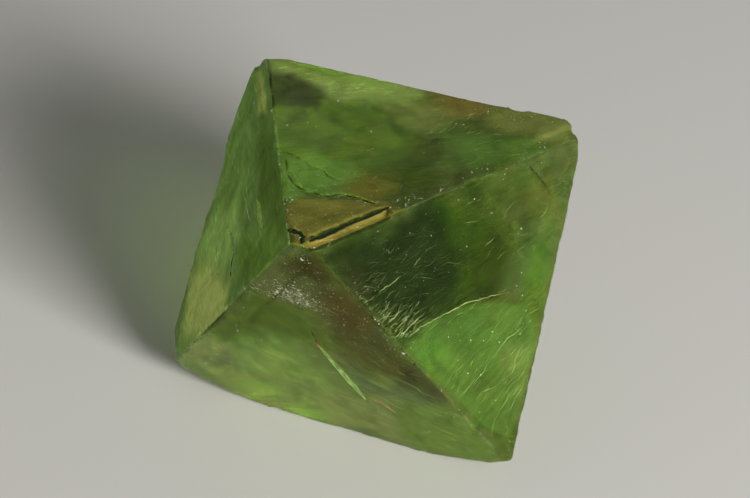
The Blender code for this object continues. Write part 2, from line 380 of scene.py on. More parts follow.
# Honey window, honey step and rusty rim are the stone's own colour, frosted ground is its crushed skin,
# Most zones paint light and shade into the tint rather than the stone's colour.
# Painted light: under rim, lime patch, right margin, lit fan, fan right, lit belly, pale hem, lit flank,
# Painted shade: dark core, core edge, upper right, fan shadow, fan top, torn tip, ridge shade, top left,
# and the rest shift its colour a little.
# belly shade, left low, shaded band, inner shade, and near ridge and hem ridge along a ridge's bright line.
# olive shade, the darkest corner of the top, brown apex, brown wedge and the reddish wedge in it, left shade,
# pale corner and yellow strip; upper rim is frost with painted light, rust glow painted light with a rusty
# hue.
ZONES = {
    "upper rim": Zone("top", 1.5, 0.7, (1.00, 1.00, 0.40), ((-17.5, 7.9), (-12.9, 9.1), (-7.9, 8.6),
        (-1.3, 10.2), (2.0, 9.4), (0.5, 5.9), (-3.2, 4.9), (-6.5, 4.1), (-9.8, 5.5), (-14.3, 6.6))),
    "under rim": Zone("top", 1.0, 0.6, (1.00, 1.00, 0.33), ((-1.9, 5.5), (1.1, 7.3), (4.6, 7.5), (7.0, 6.8),
        (6.4, 4.8), (5.5, 1.9), (2.0, 2.4))),
    # painted shade: the darkest corner of the top face
    "shaded top corner": Zone("top", 0.5, 0.5, (0.30, 0.25, 0.28), ((-15.7, 5.5), (-13.3, 7.3), (-10.0, 5.8),
        (-7.6, 4.3), (-7.3, 2.0), (-10.1, 0.7), (-12.7, 0.2))),
    "rusty rim": Zone("top", 1.0, 0.7, (0.90, 0.84, 0.22), ((2.4, 9.9), (6.9, 10.5), (9.5, 10.6),
        (10.0, 8.2), (8.5, 6.6), (6.2, 6.9), (4.2, 7.3))),
    "olive rim": Zone("top", 1.0, 0.7, (0.85, 0.95, 0.18), ((9.6, 10.2), (12.6, 11.1), (17.5, 10.9),
        (19.1, 9.7), (19.7, 7.0), (17.5, 5.5), (13.1, 5.3), (10.3, 6.2))),
    "green band": Zone("top", 1.2, 0.8, (0.50, 0.68, 0.17), ((6.5, 2.8), (10.6, 4.2), (14.8, 5.2),
        (18.2, 5.9), (19.2, 4.6), (15.4, 0.8), (12.3, -3.0), (9.5, -3.4))),
    "top middle": Zone("top", 2.0, 1.0, (0.80, 0.90, 0.28), ((-3.6, 1.7), (0.7, 1.4), (4.9, 1.2),
        (10.2, 2.3), (13.8, 1.8), (11.3, -6.1), (4.7, -4.0), (-0.2, -4.5))),
    "top left": Zone("top", 1.4, 0.8, (0.40, 0.42, 0.36), ((-12.2, -0.9), (-7.2, 1.3), (-4.2, 1.0),
        (-2.3, -1.2), (-2.8, -4.8), (-6.0, -6.2), (-8.4, -5.6))),
    "lime patch": Zone("top", 1.0, 0.6, (1.00, 1.00, 0.50), ((-5.7, -11.1), (-4.5, -6.8), (0.3, -6.6),
        (1.8, -9.0), (1.1, -11.7), (-1.5, -12.9), (-2.9, -15.9))),
    "olive shade": Zone("top", 1.3, 0.8, (0.60, 0.80, 0.14), ((4.4, -5.4), (6.5, -2.7), (10.1, -5.3),
        (10.2, -8.3), (8.1, -11.0), (5.5, -10.1))),
    "rust glow": Zone("top", 1.1, 0.6, (1.00, 1.00, 0.20), ((1.0, -11.4), (2.4, -8.3), (4.7, -7.3),
        (6.1, -9.5), (5.1, -11.9), (2.9, -12.5))),
    "honey window": Zone("top", 0.4, 0.3, (0.84, 0.78, 0.20), ((-2.9, -16.7), (-2.1, -14.7), (0.8, -13.5),
        (4.0, -12.4), (6.4, -12.0), (8.4, -12.2), (8.4, -14.8), (5.7, -19.5), (3.0, -22.8), (0.7, -23.3),
        (-1.6, -19.8))),
    "honey step": Zone("top", 0.15, 0.1, (0.75, 0.65, 0.12), ((1.9, -21.4), (4.7, -17.2), (7.0, -13.1),
        (8.3, -13.7), (8.2, -15.3), (5.6, -19.2), (3.4, -22.3))),
    "dark core": Zone("right_front", 1.3, 0.9, (0.03, 0.04, 0.01), ((-18.8, 10.9), (-13.4, 10.3),
        (-6.9, 10.4), (-3.2, 10.8), (-1.3, 9.9), (-0.9, 7.0), (-0.5, 3.4), (-1.4, 0.5), (-3.6, -1.2),
        (-7.0, -1.0), (-9.9, -0.0), (-12.5, 2.0), (-14.5, 5.5), (-16.6, 8.5))),
    "core edge": Zone("right_front", 0.8, 0.6, (0.06, 0.06, 0.02), ((-15.2, 9.1), (-13.7, 8.1),
        (-11.8, 4.0), (-10.7, 1.1), (-12.8, 2.8), (-14.7, 5.8))),
    "olive shoulder": Zone("right_front", 1.6, 1.0, (0.70, 0.94, 0.17), ((3.5, 11.3), (9.2, 11.1),
        (13.1, 8.8), (12.8, 4.3), (9.1, 3.5), (6.6, 7.0), (4.3, 8.7))),
    "upper right": Zone("right_front", 3.0, 0.8, (0.20, 0.33, 0.02), ((-1.6, 10.9), (4.5, 8.2), (6.6, 6.8),
        (7.9, 4.0), (6.2, 0.0), (3.5, -2.2), (-0.3, -2.3), (-3.8, -2.0), (-1.4, 4.9))),
    "fan shadow": Zone("right_front", 0.9, 0.6, (0.10, 0.17, 0.01), ((-3.4, -0.3), (-0.2, 0.6), (3.0, -0.7),
        (2.5, -1.9), (-0.4, -1.6), (-3.1, -1.5))),
    "right margin": Zone("right_front", 1.4, 0.6, (0.56, 1.00, 0.14), ((8.4, 1.3), (11.8, 2.9), (9.1, -4.9),
        (7.2, -7.7), (5.9, -3.6))),
    "ridge shade": Zone("right_front", 1.4, 0.8, (0.16, 0.25, 0.03), ((-2.5, 11.4), (2.2, 11.3),
        (4.1, 10.4), (3.3, 8.9), (-0.3, 9.5), (-2.3, 10.0))),
    "lit fan": Zone("right_front", 0.35, 0.2, (0.52, 0.94, 0.13), ((-10.9, -1.1), (-9.5, -1.8),
        (-6.3, -1.6), (-3.1, -1.6), (-0.5, -1.8), (3.4, -2.8), (6.6, -4.4), (7.2, -7.7), (4.9, -13.3),
        (1.5, -18.5), (-2.2, -15.2), (-6.1, -8.9), (-9.0, -4.1))),
    "fan top": Zone("right_front", 1.2, 0.8, (0.15, 0.25, 0.02), ((-8.3, -2.3), (-6.3, -1.7), (-3.1, -1.7),
        (-0.5, -1.9), (3.3, -3.0), (4.8, -3.9), (3.1, -4.1), (-0.8, -3.2), (-4.0, -3.0), (-7.0, -3.4))),
    "fan right": Zone("right_front", 1.6, 0.8, (0.86, 1.00, 0.24), ((2.9, -8.6), (7.0, -8.6), (5.1, -13.4),
        (2.8, -16.6), (1.5, -13.5))),
    "fan foot": Zone("right_front", 1.8, 0.8, (0.55, 0.80, 0.10), ((-2.4, -10.4), (4.0, -12.3),
        (2.1, -20.9), (-0.3, -19.0))),
    "torn tip": Zone("right_front", 0.5, 0.5, (0.16, 0.19, 0.02), ((-12.6, 2.7), (-9.6, 0.0), (-6.4, -1.0),
        (-7.1, -2.6), (-9.8, -2.9), (-11.5, -0.4))),
    # painted shade: the brown apex and wedges, where dark surroundings show through the stone
    "brown apex": Zone("lower_front", 1.8, 0.8, (0.08, 0.06, 0.01), ((1.7, 22.3), (4.2, 22.3), (6.3, 18.6),
        (4.1, 16.2), (0.7, 16.2), (-2.9, 16.8), (-0.4, 20.7))),
    "brown wedge": Zone("lower_front", 1.7, 0.9, (0.13, 0.11, 0.01), ((1.4, 15.0), (6.2, 18.6), (8.9, 13.3),
        (10.7, 9.4), (12.7, 5.8), (15.6, 1.1), (13.6, 1.5), (10.3, 1.9), (6.8, 1.8), (3.6, 4.5),
        (1.5, 8.3))),
    "shaded reddish wedge": Zone("lower_front", 1.6, 0.6, (0.11, 0.07, 0.01), ((2.5, 15.0), (6.0, 17.0), (8.0, 13.2),
        (8.1, 10.6), (5.4, 9.8), (3.0, 12.0))),
    "left shade": Zone("lower_front", 1.7, 1.0, (0.17, 0.20, 0.03), ((-12.5, 1.1), (-6.3, 12.8),
        (-4.5, 12.4), (0.3, 13.8), (1.7, 8.0), (2.1, 4.8), (-1.3, 4.4), (-5.9, 4.4), (-10.2, 0.4))),
    "frosted ground": Zone("lower_front", 1.3, 0.7, (0.15, 0.17, 0.04), ((-6.2, 13.1), (-3.6, 16.8),
        (-0.1, 18.3), (2.8, 16.7), (2.7, 13.0), (-0.2, 11.2), (-3.9, 11.4))),
    # painted shade over the bright line along the ridge of the left front and lower front faces
    "hem ridge": Zone("lower_front", 0.25, 0.1, (0.30, 0.42, 0.10), ((0.1, 23.9), (-2.2, 20.5),
        (-5.6, 15.0), (-9.2, 9.3), (-12.9, 3.3), (-12.0, 2.3), (-8.2, 8.3), (-4.6, 14.0), (-1.3, 19.1),
        (1.1, 22.9))),
    "lit belly": Zone("lower_front", 1.8, 0.9, (1.00, 1.00, 0.25), ((-10.6, -1.5), (-1.5, 3.5), (3.1, -1.4),
        (0.6, -5.8), (-5.8, -7.7), (-10.7, -7.2))),
    "belly shade": Zone("lower_front", 1.6, 0.9, (0.32, 0.32, 0.06), ((-3.1, 2.6), (4.4, 6.8), (5.9, 2.4),
        (2.9, -2.3), (-1.4, -3.6), (-3.7, -1.0))),
    "left low": Zone("lower_front", 1.6, 0.9, (0.33, 0.35, 0.15), ((-13.2, -2.1), (-10.4, -0.2),
        (-6.3, 1.9), (-6.4, -2.7), (-10.0, -6.0), (-13.6, -5.3))),
    "pale hem": Zone("lower_front", 1.6, 0.9, (0.95, 0.95, 0.26), ((-15.8, -6.4), (-10.7, -7.2),
        (-4.6, -4.9), (-0.3, -4.2), (7.2, -2.2), (9.0, -2.5), (7.5, -10.2), (-4.1, -12.3), (-11.5, -11.8))),
    "green hem": Zone("lower_front", 1.0, 0.7, (0.72, 0.90, 0.16), ((9.5, -2.2), (16.9, 0.6), (21.7, -6.2),
        (18.0, -10.2), (10.8, -11.0), (8.1, -9.0))),
    "left face": Zone("left_front", 0.3, 0.0, (0.76, 0.95, 0.28), ((-18.5, 7.0), (-16.5, 10.5), (0.0, 13.0),
        (20.0, 12.5), (21.0, 8.0), (8.0, -13.0), (0.0, -19.0), (-8.0, -13.0), (-17.0, 1.0))),
    "shaded band": Zone("left_front", 1.3, 0.6, (0.20, 0.50, 0.02), ((-6.5, 9.4), (-0.3, 11.8), (9.7, 12.1),
        (17.4, 11.7), (16.1, 8.9), (8.6, 6.3), (0.4, 5.7), (-5.0, 6.1))),
    "inner shade": Zone("left_front", 1.3, 0.6, (0.30, 0.80, 0.02), ((5.6, 1.8), (12.2, 7.0), (21.0, 11.5),
        (17.6, 4.9), (10.2, -0.8), (4.4, -1.1))),
    "lit flank": Zone("left_front", 1.5, 0.8, (1.00, 1.00, 0.20), ((-8.6, -10.9), (-9.1, -5.7), (-3.3, 0.3),
        (3.9, 0.3), (4.3, -2.9), (0.5, -7.2), (-4.3, -10.3))),
    "pale corner": Zone("left_front", 1.2, 0.6, (1.00, 1.00, 0.50), ((-7.6, -13.7), (-0.8, -7.0),
        (7.3, -4.0), (9.3, -5.8), (7.9, -11.7), (-1.0, -17.2))),
    # painted shade over the bright line along the ridge of the left front and lower front faces
    "near ridge": Zone("left_front", 0.15, 0.05, (0.24, 0.46, 0.06), ((19.8, 11.9), (17.5, 8.1),
        (14.2, 2.7), (10.7, -2.9), (9.7, -4.7), (11.4, -5.7), (12.4, -3.9), (15.9, 1.7), (19.2, 7.1),
        (21.5, 10.9))),
    "yellow strip": Zone("left_front", 0.35, 0.2, (1.00, 1.00, 0.28), ((-16.8, 8.9), (-13.6, 10.1),
        (-7.1, 9.8), (-9.6, 8.2))),
}

CRACKS = (
    Crack("top", 0.28, 0.2, ((-3.9, -12.5), (-2.6, -13.1), (-1.3, -13.3), (0.7, -13.3), (1.5, -12.4),
        (3.2, -12.2), (4.6, -12.4), (6.3, -12.4))),
    Crack("top", 0.16, 0.1, ((-6.9, -7.5), (-5.0, -8.0), (-3.6, -8.9), (-2.1, -9.0), (-1.1, -9.8),
        (0.6, -10.2))),
    Crack("top", 0.16, 0.1, ((-6.5, -8.6), (-5.3, -10.9), (-3.9, -12.5))),
    Crack("top", 0.34, 0.42, ((1.8, -20.8), (2.9, -19.1), (3.9, -17.4), (4.9, -15.6), (5.9, -13.9),
        (6.9, -12.6))),
    Crack("top", 0.2, 0.25, ((6.9, -12.6), (7.5, -13.4), (7.8, -14.4))),
    Crack("top", 0.3, 0.26, ((-0.6, -20.6), (0.2, -20.3), (0.9, -20.6), (1.5, -22.0), (2.2, -23.2))),
    Crack("right_front", 0.34, 0.12, ((10.4, 10.2), (11.4, 8.6), (12.1, 7.1))),
    Crack("lower_front", 0.18, 0.12, ((0.5, 7.3), (0.7, 5.3), (1.5, 3.5), (2.6, 1.3), (3.7, -0.8),
        (5.0, -3.4))),
    Crack("left_front", 0.14, 0.12, ((4.3, -1.8), (4.9, -2.5), (6.6, -3.2))),
)


def evaluated_copy(thing):
    """A new mesh of an object with its modifiers applied."""
    graph = bpy.context.evaluated_depsgraph_get()
    return bpy.data.meshes.new_from_object(thing.evaluated_get(graph))


# Cosines between a point's normal and its face's: not on the face, and quite level with it.
LEVELNESS = (0.80, 0.97)


class Skin:
    """The stone's surface points in mm, each with its nearest cleavage face."""

    def __init__(self, mesh):
        count = len(mesh.vertices)
        flat = np.empty(count * 3)
        mesh.vertices.foreach_get("co", flat)
        self.points = flat.reshape(-1, 3) / MM
        mesh.vertex_normals.foreach_get("vector", flat)
        self.normals = flat.reshape(-1, 3).copy()
        links = np.empty(len(mesh.edges) * 2, np.int64)
        mesh.edges.foreach_get("vertices", links)
        self.links = links.reshape(-1, 2)
        self.from_heart = self.points - np.array(HEART) / MM
        gaps = np.array([face.distance / MM - self.from_heart @ np.array(face.normal)
                         for face in FACES.values()])
        self.nearest = np.argmin(gaps, axis=0)
        self.edge_gap = np.sort(gaps, axis=0)[1]

    def on_face(self, name):
        """Which points lie on a face, their places on it in mm, and how level they are with it."""
        face = FACES[name]
        chosen = self.nearest == list(FACES).index(name)
        offsets = self.from_heart[chosen]
        places = np.stack((offsets @ np.array(face.right), offsets @ np.array(face.up)), axis=1)
        level = smooth_step(*LEVELNESS, self.normals[chosen] @ np.array(face.normal))
        return chosen, places, level

    def neighbours_mean(self, values):
        """The mean of each point's neighbours' values."""
        first, second = self.links.T
        total = np.bincount(first, values[second], len(values))
        total += np.bincount(second, values[first], len(values))
        return total / np.bincount(self.links.ravel(), minlength=len(values))

    def smoothed(self, rounds, share):
        """The points after each has moved towards the middle of its neighbours."""
        points = self.points.copy()
        for _ in range(rounds):
            middles = np.stack([self.neighbours_mean(points[:, axis]) for axis in range(3)], axis=1)
            points += share[:, None] * (middles - points)
        return points

    def spread(self, values, rounds):
        """Values at the points, averaged with their neighbours some times over."""
        for _ in range(rounds):
            values = 0.5 * (values + self.neighbours_mean(values))
        return values


CRACK_WANDER = (0.7, 0.10)      # a crack's wander to either side: its length and reach in mm
CRACK_ENDS = 0.08               # the share of a crack's length over which it fades out
CRACK_SHALLOWS = 0.3            # the share of its depth that is left at its ends


def crack_relief(name, places):
    """Depth in mm of the cracks and grooves at points of a face."""
    depth = np.zeros(len(places))
    size, reach = CRACK_WANDER
    wander = np.stack([value_noise(places, size, SEEDS["wander"] + axis) for axis in range(2)], axis=1)
    for crack in CRACKS:
        if crack.face == name:
            gap, along = line_distance(places + wander * reach, crack.line)
            fade = smooth_step(0.0, CRACK_ENDS, along) * smooth_step(1.0, 1.0 - CRACK_ENDS, along)
            share = CRACK_SHALLOWS + (1.0 - CRACK_SHALLOWS) * fade
            depth = np.maximum(depth, crack.depth * share * np.exp(-(gap / crack.width) ** 2))
    return depth


GRAIN = {
    "top": Grain(35.0, 0.0, 1.9, 0.05),
    "right_front": Grain(12.0, -1.2, 0.9, 0.1),
    "lower_front": Grain(-14.0, 0.0, 1.3, 0.07),
    "left_front": Grain(2.0, 0.0, 0.7, 0.09),
    "upper_back": Grain(60.0, 0.0, 1.3, 0.09),
    "lower_right": Grain(-40.0, 0.0, 1.2, 0.09),
    "lower_left": Grain(-20.0, 0.0, 1.1, 0.09),
    "resting": Grain(15.0, 0.0, 1.6, 0.04),
}


def grain_places(name, places):
    """Places on a face measured along and across its grain, in mm."""
    grain = GRAIN[name]
    angle = np.radians(grain.run + grain.bend * places[:, 1])
    along = places[:, 0] * np.cos(angle) + places[:, 1] * np.sin(angle)
    across = places[:, 1] * np.cos(angle) - places[:, 0] * np.sin(angle)
    return along, across


RIVER_WANDER = (1.6, 2.5)       # the steps' wander: its reach in spacings and its length in mm
RIVER_STRETCH = (0.22, 0.12)    # how slowly the steps' lines and depths change along the grain
RIVER_GAP = 7.3                 # keeps the random depths of two steps apart
RIVER_WALL = 0.62               # the share of a step's width at which its wall begins


def river_relief(name, places, seed):
    """Depth in mm of the low cleavage steps that run along a face's grain."""
    grain = GRAIN[name]
    reach, size = RIVER_WANDER
    line_stretch, depth_stretch = RIVER_STRETCH
    along, across = grain_places(name, places)
    stretched = np.stack((along * line_stretch, across), axis=1)
    shifted = (across + reach * grain.spacing * layered_noise(stretched, size, seed)) / grain.spacing
    step = np.floor(shifted)
    share = shifted - step
    cells = np.stack((step * RIVER_GAP, along * depth_stretch), axis=1)
    depth = np.abs(value_noise(cells, 1.0, seed + 5))
    return grain.height * depth * share ** 2 * smooth_step(1.0, RIVER_WALL, share)


RIPPLE_STRETCH = 0.4            # how slowly the ripples change along the grain
RIPPLE_WANDER = (1.1, 1.7)      # the ripples' wander: its reach and its length in mm
RIPPLE_TEARS = (0.45, 1.6)      # how much of them is left whole, and the size of their tears in mm


def ripple_relief(name, places, seed):
    """Depth in mm of the feathery ripples in the crack patches of a face."""
    depth = np.zeros(len(places))
    (reach, size), (whole, tear_size) = RIPPLE_WANDER, RIPPLE_TEARS
    along, across = grain_places(name, places)
    stretched = np.stack((along * RIPPLE_STRETCH, across), axis=1)
    for patch in RIPPLES:
        if patch.face == name:
            share = smooth_step(-patch.soft, patch.soft, patch_depth(places, patch.corners))
            wave = across + reach * layered_noise(stretched, size, seed)
            crest = 1.0 - np.abs(np.sin(math.pi * wave / patch.spacing))
            torn = np.clip(layered_noise(stretched, tear_size, seed + 3) + whole, 0.0, 1.0)
            depth = np.maximum(depth, patch.height * share * crest ** 2 * torn)
    return depth


RIPPLES = (
    Ripples("right_front", 1.6, 0.1, 0.8, ((-12.5, -1.0), (-10.5, 4.5), (-3.0, 6.5), (0.5, 2.0),
        (-3.5, -1.2), (-9.0, -3.0))),
    Ripples("right_front", 1.5, 0.1, 0.8, ((-6.0, -10.0), (-2.0, -3.0), (9.0, -3.5), (8.0, -8.0),
        (1.5, -18.0))),
    Ripples("lower_front", 1.0, 0.14, 0.7, ((-6.0, 13.0), (-1.0, 18.0), (3.0, 14.0), (2.0, 10.5),
        (-4.0, 11.0))),
    Ripples("left_front", 1.6, 0.1, 0.8, ((-4.0, 3.0), (0.0, 9.0), (17.0, 9.0), (12.0, -5.0), (4.0, -4.0))),
)


CRACK_MARGIN = 0.3              # how far the finer facets reach beyond a crack's sides, in mm
STEEP = 0.5                     # how level a point may be and still count as part of a wall
WALL_ROUNDS, WALL_GAIN = 3, 2.0     # how far a wall's share is spread, and how much it is raised


def fine_places(skin, reach):
    """Which points need finer facets: those by edges, cracks and feathery patches."""
    fine = skin.edge_gap < reach / MM
    for name in FACES:
        chosen, places, level = skin.on_face(name)
        near = level < STEEP
        for crack in CRACKS:
            if crack.face == name:
                near |= line_distance(places, crack.line)[0] < crack.width + CRACK_MARGIN
        for patch in RIPPLES:
            if patch.face == name:
                near |= patch_depth(places, patch.corners) > -patch.soft
        fine[chosen] |= near
    return fine


def refine_mesh(mesh, reach):
    """Split the facets that touch the places that need finer ones."""
    fine = fine_places(Skin(mesh), reach)
    bm = bmesh.new()
    bm.from_mesh(mesh)
    touched = [face for face in bm.faces if any(fine[vertex.index] for vertex in face.verts)]
    edges = {edge for face in touched for edge in face.edges}
    edges = sorted(edges, key=lambda edge: edge.index)
    bmesh.ops.subdivide_edges(bm, edges=edges, cuts=1, use_grid_fill=True)
    bm.to_mesh(mesh)
    bm.free()


def wall_shares(skin):
    """How steep the skin is by each point, from 0 on a cleavage face to 1 on a ledge's wall."""
    wall = np.zeros(len(skin.points))
    for name in FACES:
        chosen, _, level = skin.on_face(name)
        wall[chosen] = 1.0 - level
    return np.clip(WALL_GAIN * skin.spread(wall, WALL_ROUNDS), 0.0, 1.0)


# Bands by the edges: the gaps to the edge in mm, between which a change rises from 0 to 1.
ROUNDED_BAND = (0.5, 0.1)
CRUMBLED_BAND = (0.7, 0.1)
RELIEF_BAND = (0.0, 0.8)
RIM_BAND = (0.30, 0.05)

ROUNDS = 3                      # how often the points are drawn towards their neighbours
ROUNDED_EDGE = 0.35             # how far at the edges, as a share of the way
ROUNDED_WALL = 0.6              # and on the ledges' walls
CRUMBLED_WALL = 0.7             # how much a ledge's wall crumbles beside an edge
CRUMBLE_ADDED = 0.15            # how much of every edge crumbles, besides its random part


def carve_skin(mesh, wear):
    """Round the edges and cut the low steps, cracks and crumbled edges."""
    skin = Skin(mesh)
    wall = wall_shares(skin)
    edge = smooth_step(*ROUNDED_BAND, skin.edge_gap)
    points = skin.smoothed(ROUNDS, np.maximum(ROUNDED_EDGE * edge, ROUNDED_WALL * wall))
    sunk = np.zeros(len(points))
    for index, name in enumerate(FACES):
        chosen, places, level = skin.on_face(name)
        relief = river_relief(name, places, SEEDS["river"] + 10 * index)
        relief += ripple_relief(name, places, SEEDS["ripple"] + 10 * index)
        relief += SWELL_DEPTH * (1.0 + layered_noise(places, SWELL_SIZE, SEEDS["swell"] + index)) * 0.5
        relief *= smooth_step(*RELIEF_BAND, skin.edge_gap[chosen])
        relief += crack_relief(name, places)
        if name == "resting":
            relief *= RESTING_RELIEF
        sunk[chosen] = relief * level
    crumble = layered_noise(skin.points, CRUMBLE_SIZE, SEEDS["crumble"]) + CRUMBLE_ADDED
    edge = smooth_step(*CRUMBLED_BAND, skin.edge_gap)
    sunk += wear / MM * np.clip(crumble, 0.0, 1.0) * np.maximum(edge, CRUMBLED_WALL * wall)
    points -= skin.normals * sunk[:, None]
    mesh.vertices.foreach_set("co", (points * MM).ravel())
    mesh.update()


ZONE_LUMPS = 3.0                # size of the lumps in a zone's wandering border, in mm
FROST_CLOUDS = (0.15, 5.0)      # faint frost all over: how much, and the size of its clouds in mm
RIM_WANDER = (0.25, 1.2)        # the worn rims' wander: its reach and its length in mm


def zone_share(zone, places, seed, outer=1.0, inner=1.0):
    """How much of a zone's colour each place takes, fading over its soft and wandering border."""
    wander = ZONE_WANDER * zone.wander * layered_noise(places, ZONE_LUMPS, seed)
    return smooth_step(-outer * zone.soft, inner * zone.soft, patch_depth(places, zone.corners) + wander)


def paint_skin(mesh, settings):
    """Write the colour, with its painted light and painted shade, the frost and the way of the grain at each
    point of the skin.
    """
    skin = Skin(mesh)
    color = np.tile(np.array(settings.color), (len(skin.points), 1))
    most, size = FROST_CLOUDS
    frost = most * np.clip(layered_noise(skin.points, size, SEEDS["frost"]), 0.0, 1.0)
    flow = np.zeros((len(skin.points), 3))
    for turn, name in enumerate(FACES):
        chosen, places, _ = skin.on_face(name)
        along, across = grain_places(name, places)
        flow[chosen] = np.stack((along, across, np.full(len(along), FLOW_GAP * turn)), axis=1)
        tint = color[chosen]
        # the zones lay the stone's colour and, in most of them, painted light and painted shade over the tint
        for index, zone in enumerate(ZONES.values()):
            if zone.face == name:
                share = zone_share(zone, places, SEEDS["zone"] + index)
                tint += share[:, None] * (np.array(zone.color) - tint)
        color[chosen] = tint
    reach, size = RIM_WANDER
    rim = smooth_step(*RIM_BAND, skin.edge_gap + reach * layered_noise(skin.points, size, SEEDS["rim"]))
    color += RIM_TINT * rim[:, None] * (np.array(settings.rim_color) - color)
    frost += RIM_FROST * rim
    paint = mesh.color_attributes.new("tint", 'FLOAT_COLOR', 'POINT')
    paint.data.foreach_set("color", np.column_stack((color, np.ones(len(color)))).ravel())
    attribute = mesh.attributes.new("frost", 'FLOAT', 'POINT')
    attribute.data.foreach_set("value", np.clip(frost, 0.0, 1.0))
    attribute = mesh.attributes.new("flow", 'FLOAT_VECTOR', 'POINT')
    attribute.data.foreach_set("vector", flow.ravel())


def add_node(tree, kind, values=None, links=None):
    """A node with its inputs set to values or linked to other nodes' outputs."""
    node = tree.nodes.new(kind)
    for name, value in (values or {}).items():
        node.inputs[name].default_value = value
    for name, source in (links or {}).items():
        tree.links.new(source, node.inputs[name])
    return node


def vector_math(tree, operation, vector, name, other):
    """A vector changed by another output, on the named or numbered input."""
    node = tree.nodes.new("ShaderNodeVectorMath")
    node.operation = operation
    tree.links.new(vector, node.inputs[0])
    tree.links.new(other, node.inputs[name])
    return node.outputs["Vector"]


def map_range(tree, value, start, end, lowest, highest):
    """A value carried from one range to another; a range's ends are numbers or outputs."""
    node = add_node(tree, "ShaderNodeMapRange", links={"Value": value})
    for name, limit in (("From Min", start), ("From Max", end), ("To Min", lowest), ("To Max", highest)):
        if isinstance(limit, float):
            node.inputs[name].default_value = limit
        else:
            tree.links.new(limit, node.inputs[name])
    return node.outputs["Result"]


def new_group(name, inputs, outputs):
    """An empty node group with its sockets, and its two end nodes."""
    group = bpy.data.node_groups.new(name, 'ShaderNodeTree')
    for way, sockets in (('INPUT', inputs), ('OUTPUT', outputs)):
        for socket, kind in sockets.items():
            group.interface.new_socket(socket, in_out=way, socket_type="NodeSocket" + kind)
    return group, group.nodes.new("NodeGroupInput").outputs, group.nodes.new("NodeGroupOutput").inputs


def streak_group():
    """Node group: streaks along the grain, fine specks, clouds and hues, all from 0 to 1."""
    kinds = {name: "Float" for name in ("Streaks", "Specks", "Clouds", "Hues")}
    group, given, result = new_group("stone_texture", {"Flow": "Vector", "Place": "Vector"}, kinds)
    turned = add_node(group, "ShaderNodeMapping", {"Scale": (0.40, 2.6, 1.0)}, {"Vector": given["Flow"]})
    along = turned.outputs["Vector"]
    noises = {
        "Streaks": ({"Scale": 1.0, "Detail": 5.0, "Roughness": 0.58, "Distortion": 0.8}, along),
        "Specks": ({"Scale": 2600.0, "Detail": 2.0}, given["Place"]),
        "Clouds": ({"Scale": 260.0, "Detail": 6.0, "Roughness": 0.60, "Distortion": 1.0}, given["Place"]),
        "Hues": ({"Scale": 190.0, "Detail": 4.0, "Distortion": 1.0}, given["Place"]),
    }
    for name, (values, place) in noises.items():
        noise = add_node(group, "ShaderNodeTexNoise", values, {"Vector": place})
        group.links.new(noise.outputs["Fac"], result[name])
    return group


def shade_group():
    """Node group: a colour made darker and lighter by a noise that runs from start to end."""
    floats = ("Noise", "Start", "End", "Lowest", "Highest")
    group, given, result = new_group("noise_shade", {"Color": "Color", **{name: "Float" for name in floats}},
                                     {"Color": "Color"})
    share = map_range(group, *(given[name] for name in floats))
    group.links.new(vector_math(group, 'SCALE', given["Color"], "Scale", share), result["Color"])
    return group


def mottle_group():
    """Node group: a colour broken up by fine noise."""
    group, given, result = new_group("fine_mottle", {"Color": "Color", "Place": "Vector", "Scale": "Float",
                                                     "Lowest": "Float"}, {"Color": "Color"})
    noise = add_node(group, "ShaderNodeTexNoise", {"Detail": 3.0}, {"Vector": given["Place"],
                                                                    "Scale": given["Scale"]})
    share = map_range(group, noise.outputs["Fac"], 0.35, 0.65, given["Lowest"], 1.0)
    group.links.new(vector_math(group, 'SCALE', given["Color"], "Scale", share), result["Color"])
    return group


GROUPS = {"stone_texture": streak_group, "noise_shade": shade_group, "fine_mottle": mottle_group}


def add_group(tree, name, values=None, links=None):
    """A node group, built when it is first used, placed in a material with its own values."""
    node = tree.nodes.new("ShaderNodeGroup")
    node.node_tree = bpy.data.node_groups.get(name) or GROUPS[name]()
    for socket, value in (values or {}).items():
        node.inputs[socket].default_value = value
    for socket, source in (links or {}).items():
        tree.links.new(source, node.inputs[socket])
    return node


def surface_inputs(tree, names):
    """The mesh's attributes and the stone's texture group, joined up in a material."""
    attributes = {}
    for name in names:
        attributes[name] = tree.nodes.new("ShaderNodeAttribute")
        attributes[name].attribute_name = name
    place = tree.nodes.new("ShaderNodeTexCoord").outputs["Object"]
    texture = add_group(tree, "stone_texture", links={"Flow": attributes["flow"].outputs["Vector"],
                                                      "Place": place})
    return attributes, texture.outputs


# How much darker and lighter each noise makes a colour, and the noise's start and end.
STONE_SHADES = (
    ("Clouds", 0.62, 1.28, 0.32, 0.68),
    ("Specks", 0.96, 1.04, 0.32, 0.68),
    ("Streaks", 0.76, 1.20, 0.32, 0.68),
)
FILM_SHADES = (
    ("Streaks", 0.90, 1.12, 0.32, 0.68),
    ("Clouds", 0.76, 1.24, 0.32, 0.68),
    ("Streaks", 1.0, 1.5, 0.60, 0.72),
)


def shaded(tree, color, texture, shades):
    """A colour made darker and lighter by one noise after another."""
    for noise, lowest, highest, start, end in shades:
        limits = {"Start": start, "End": end, "Lowest": lowest, "Highest": highest}
        shade = add_group(tree, "noise_shade", limits, {"Color": color, "Noise": texture[noise]})
        color = shade.outputs["Color"]
    return color


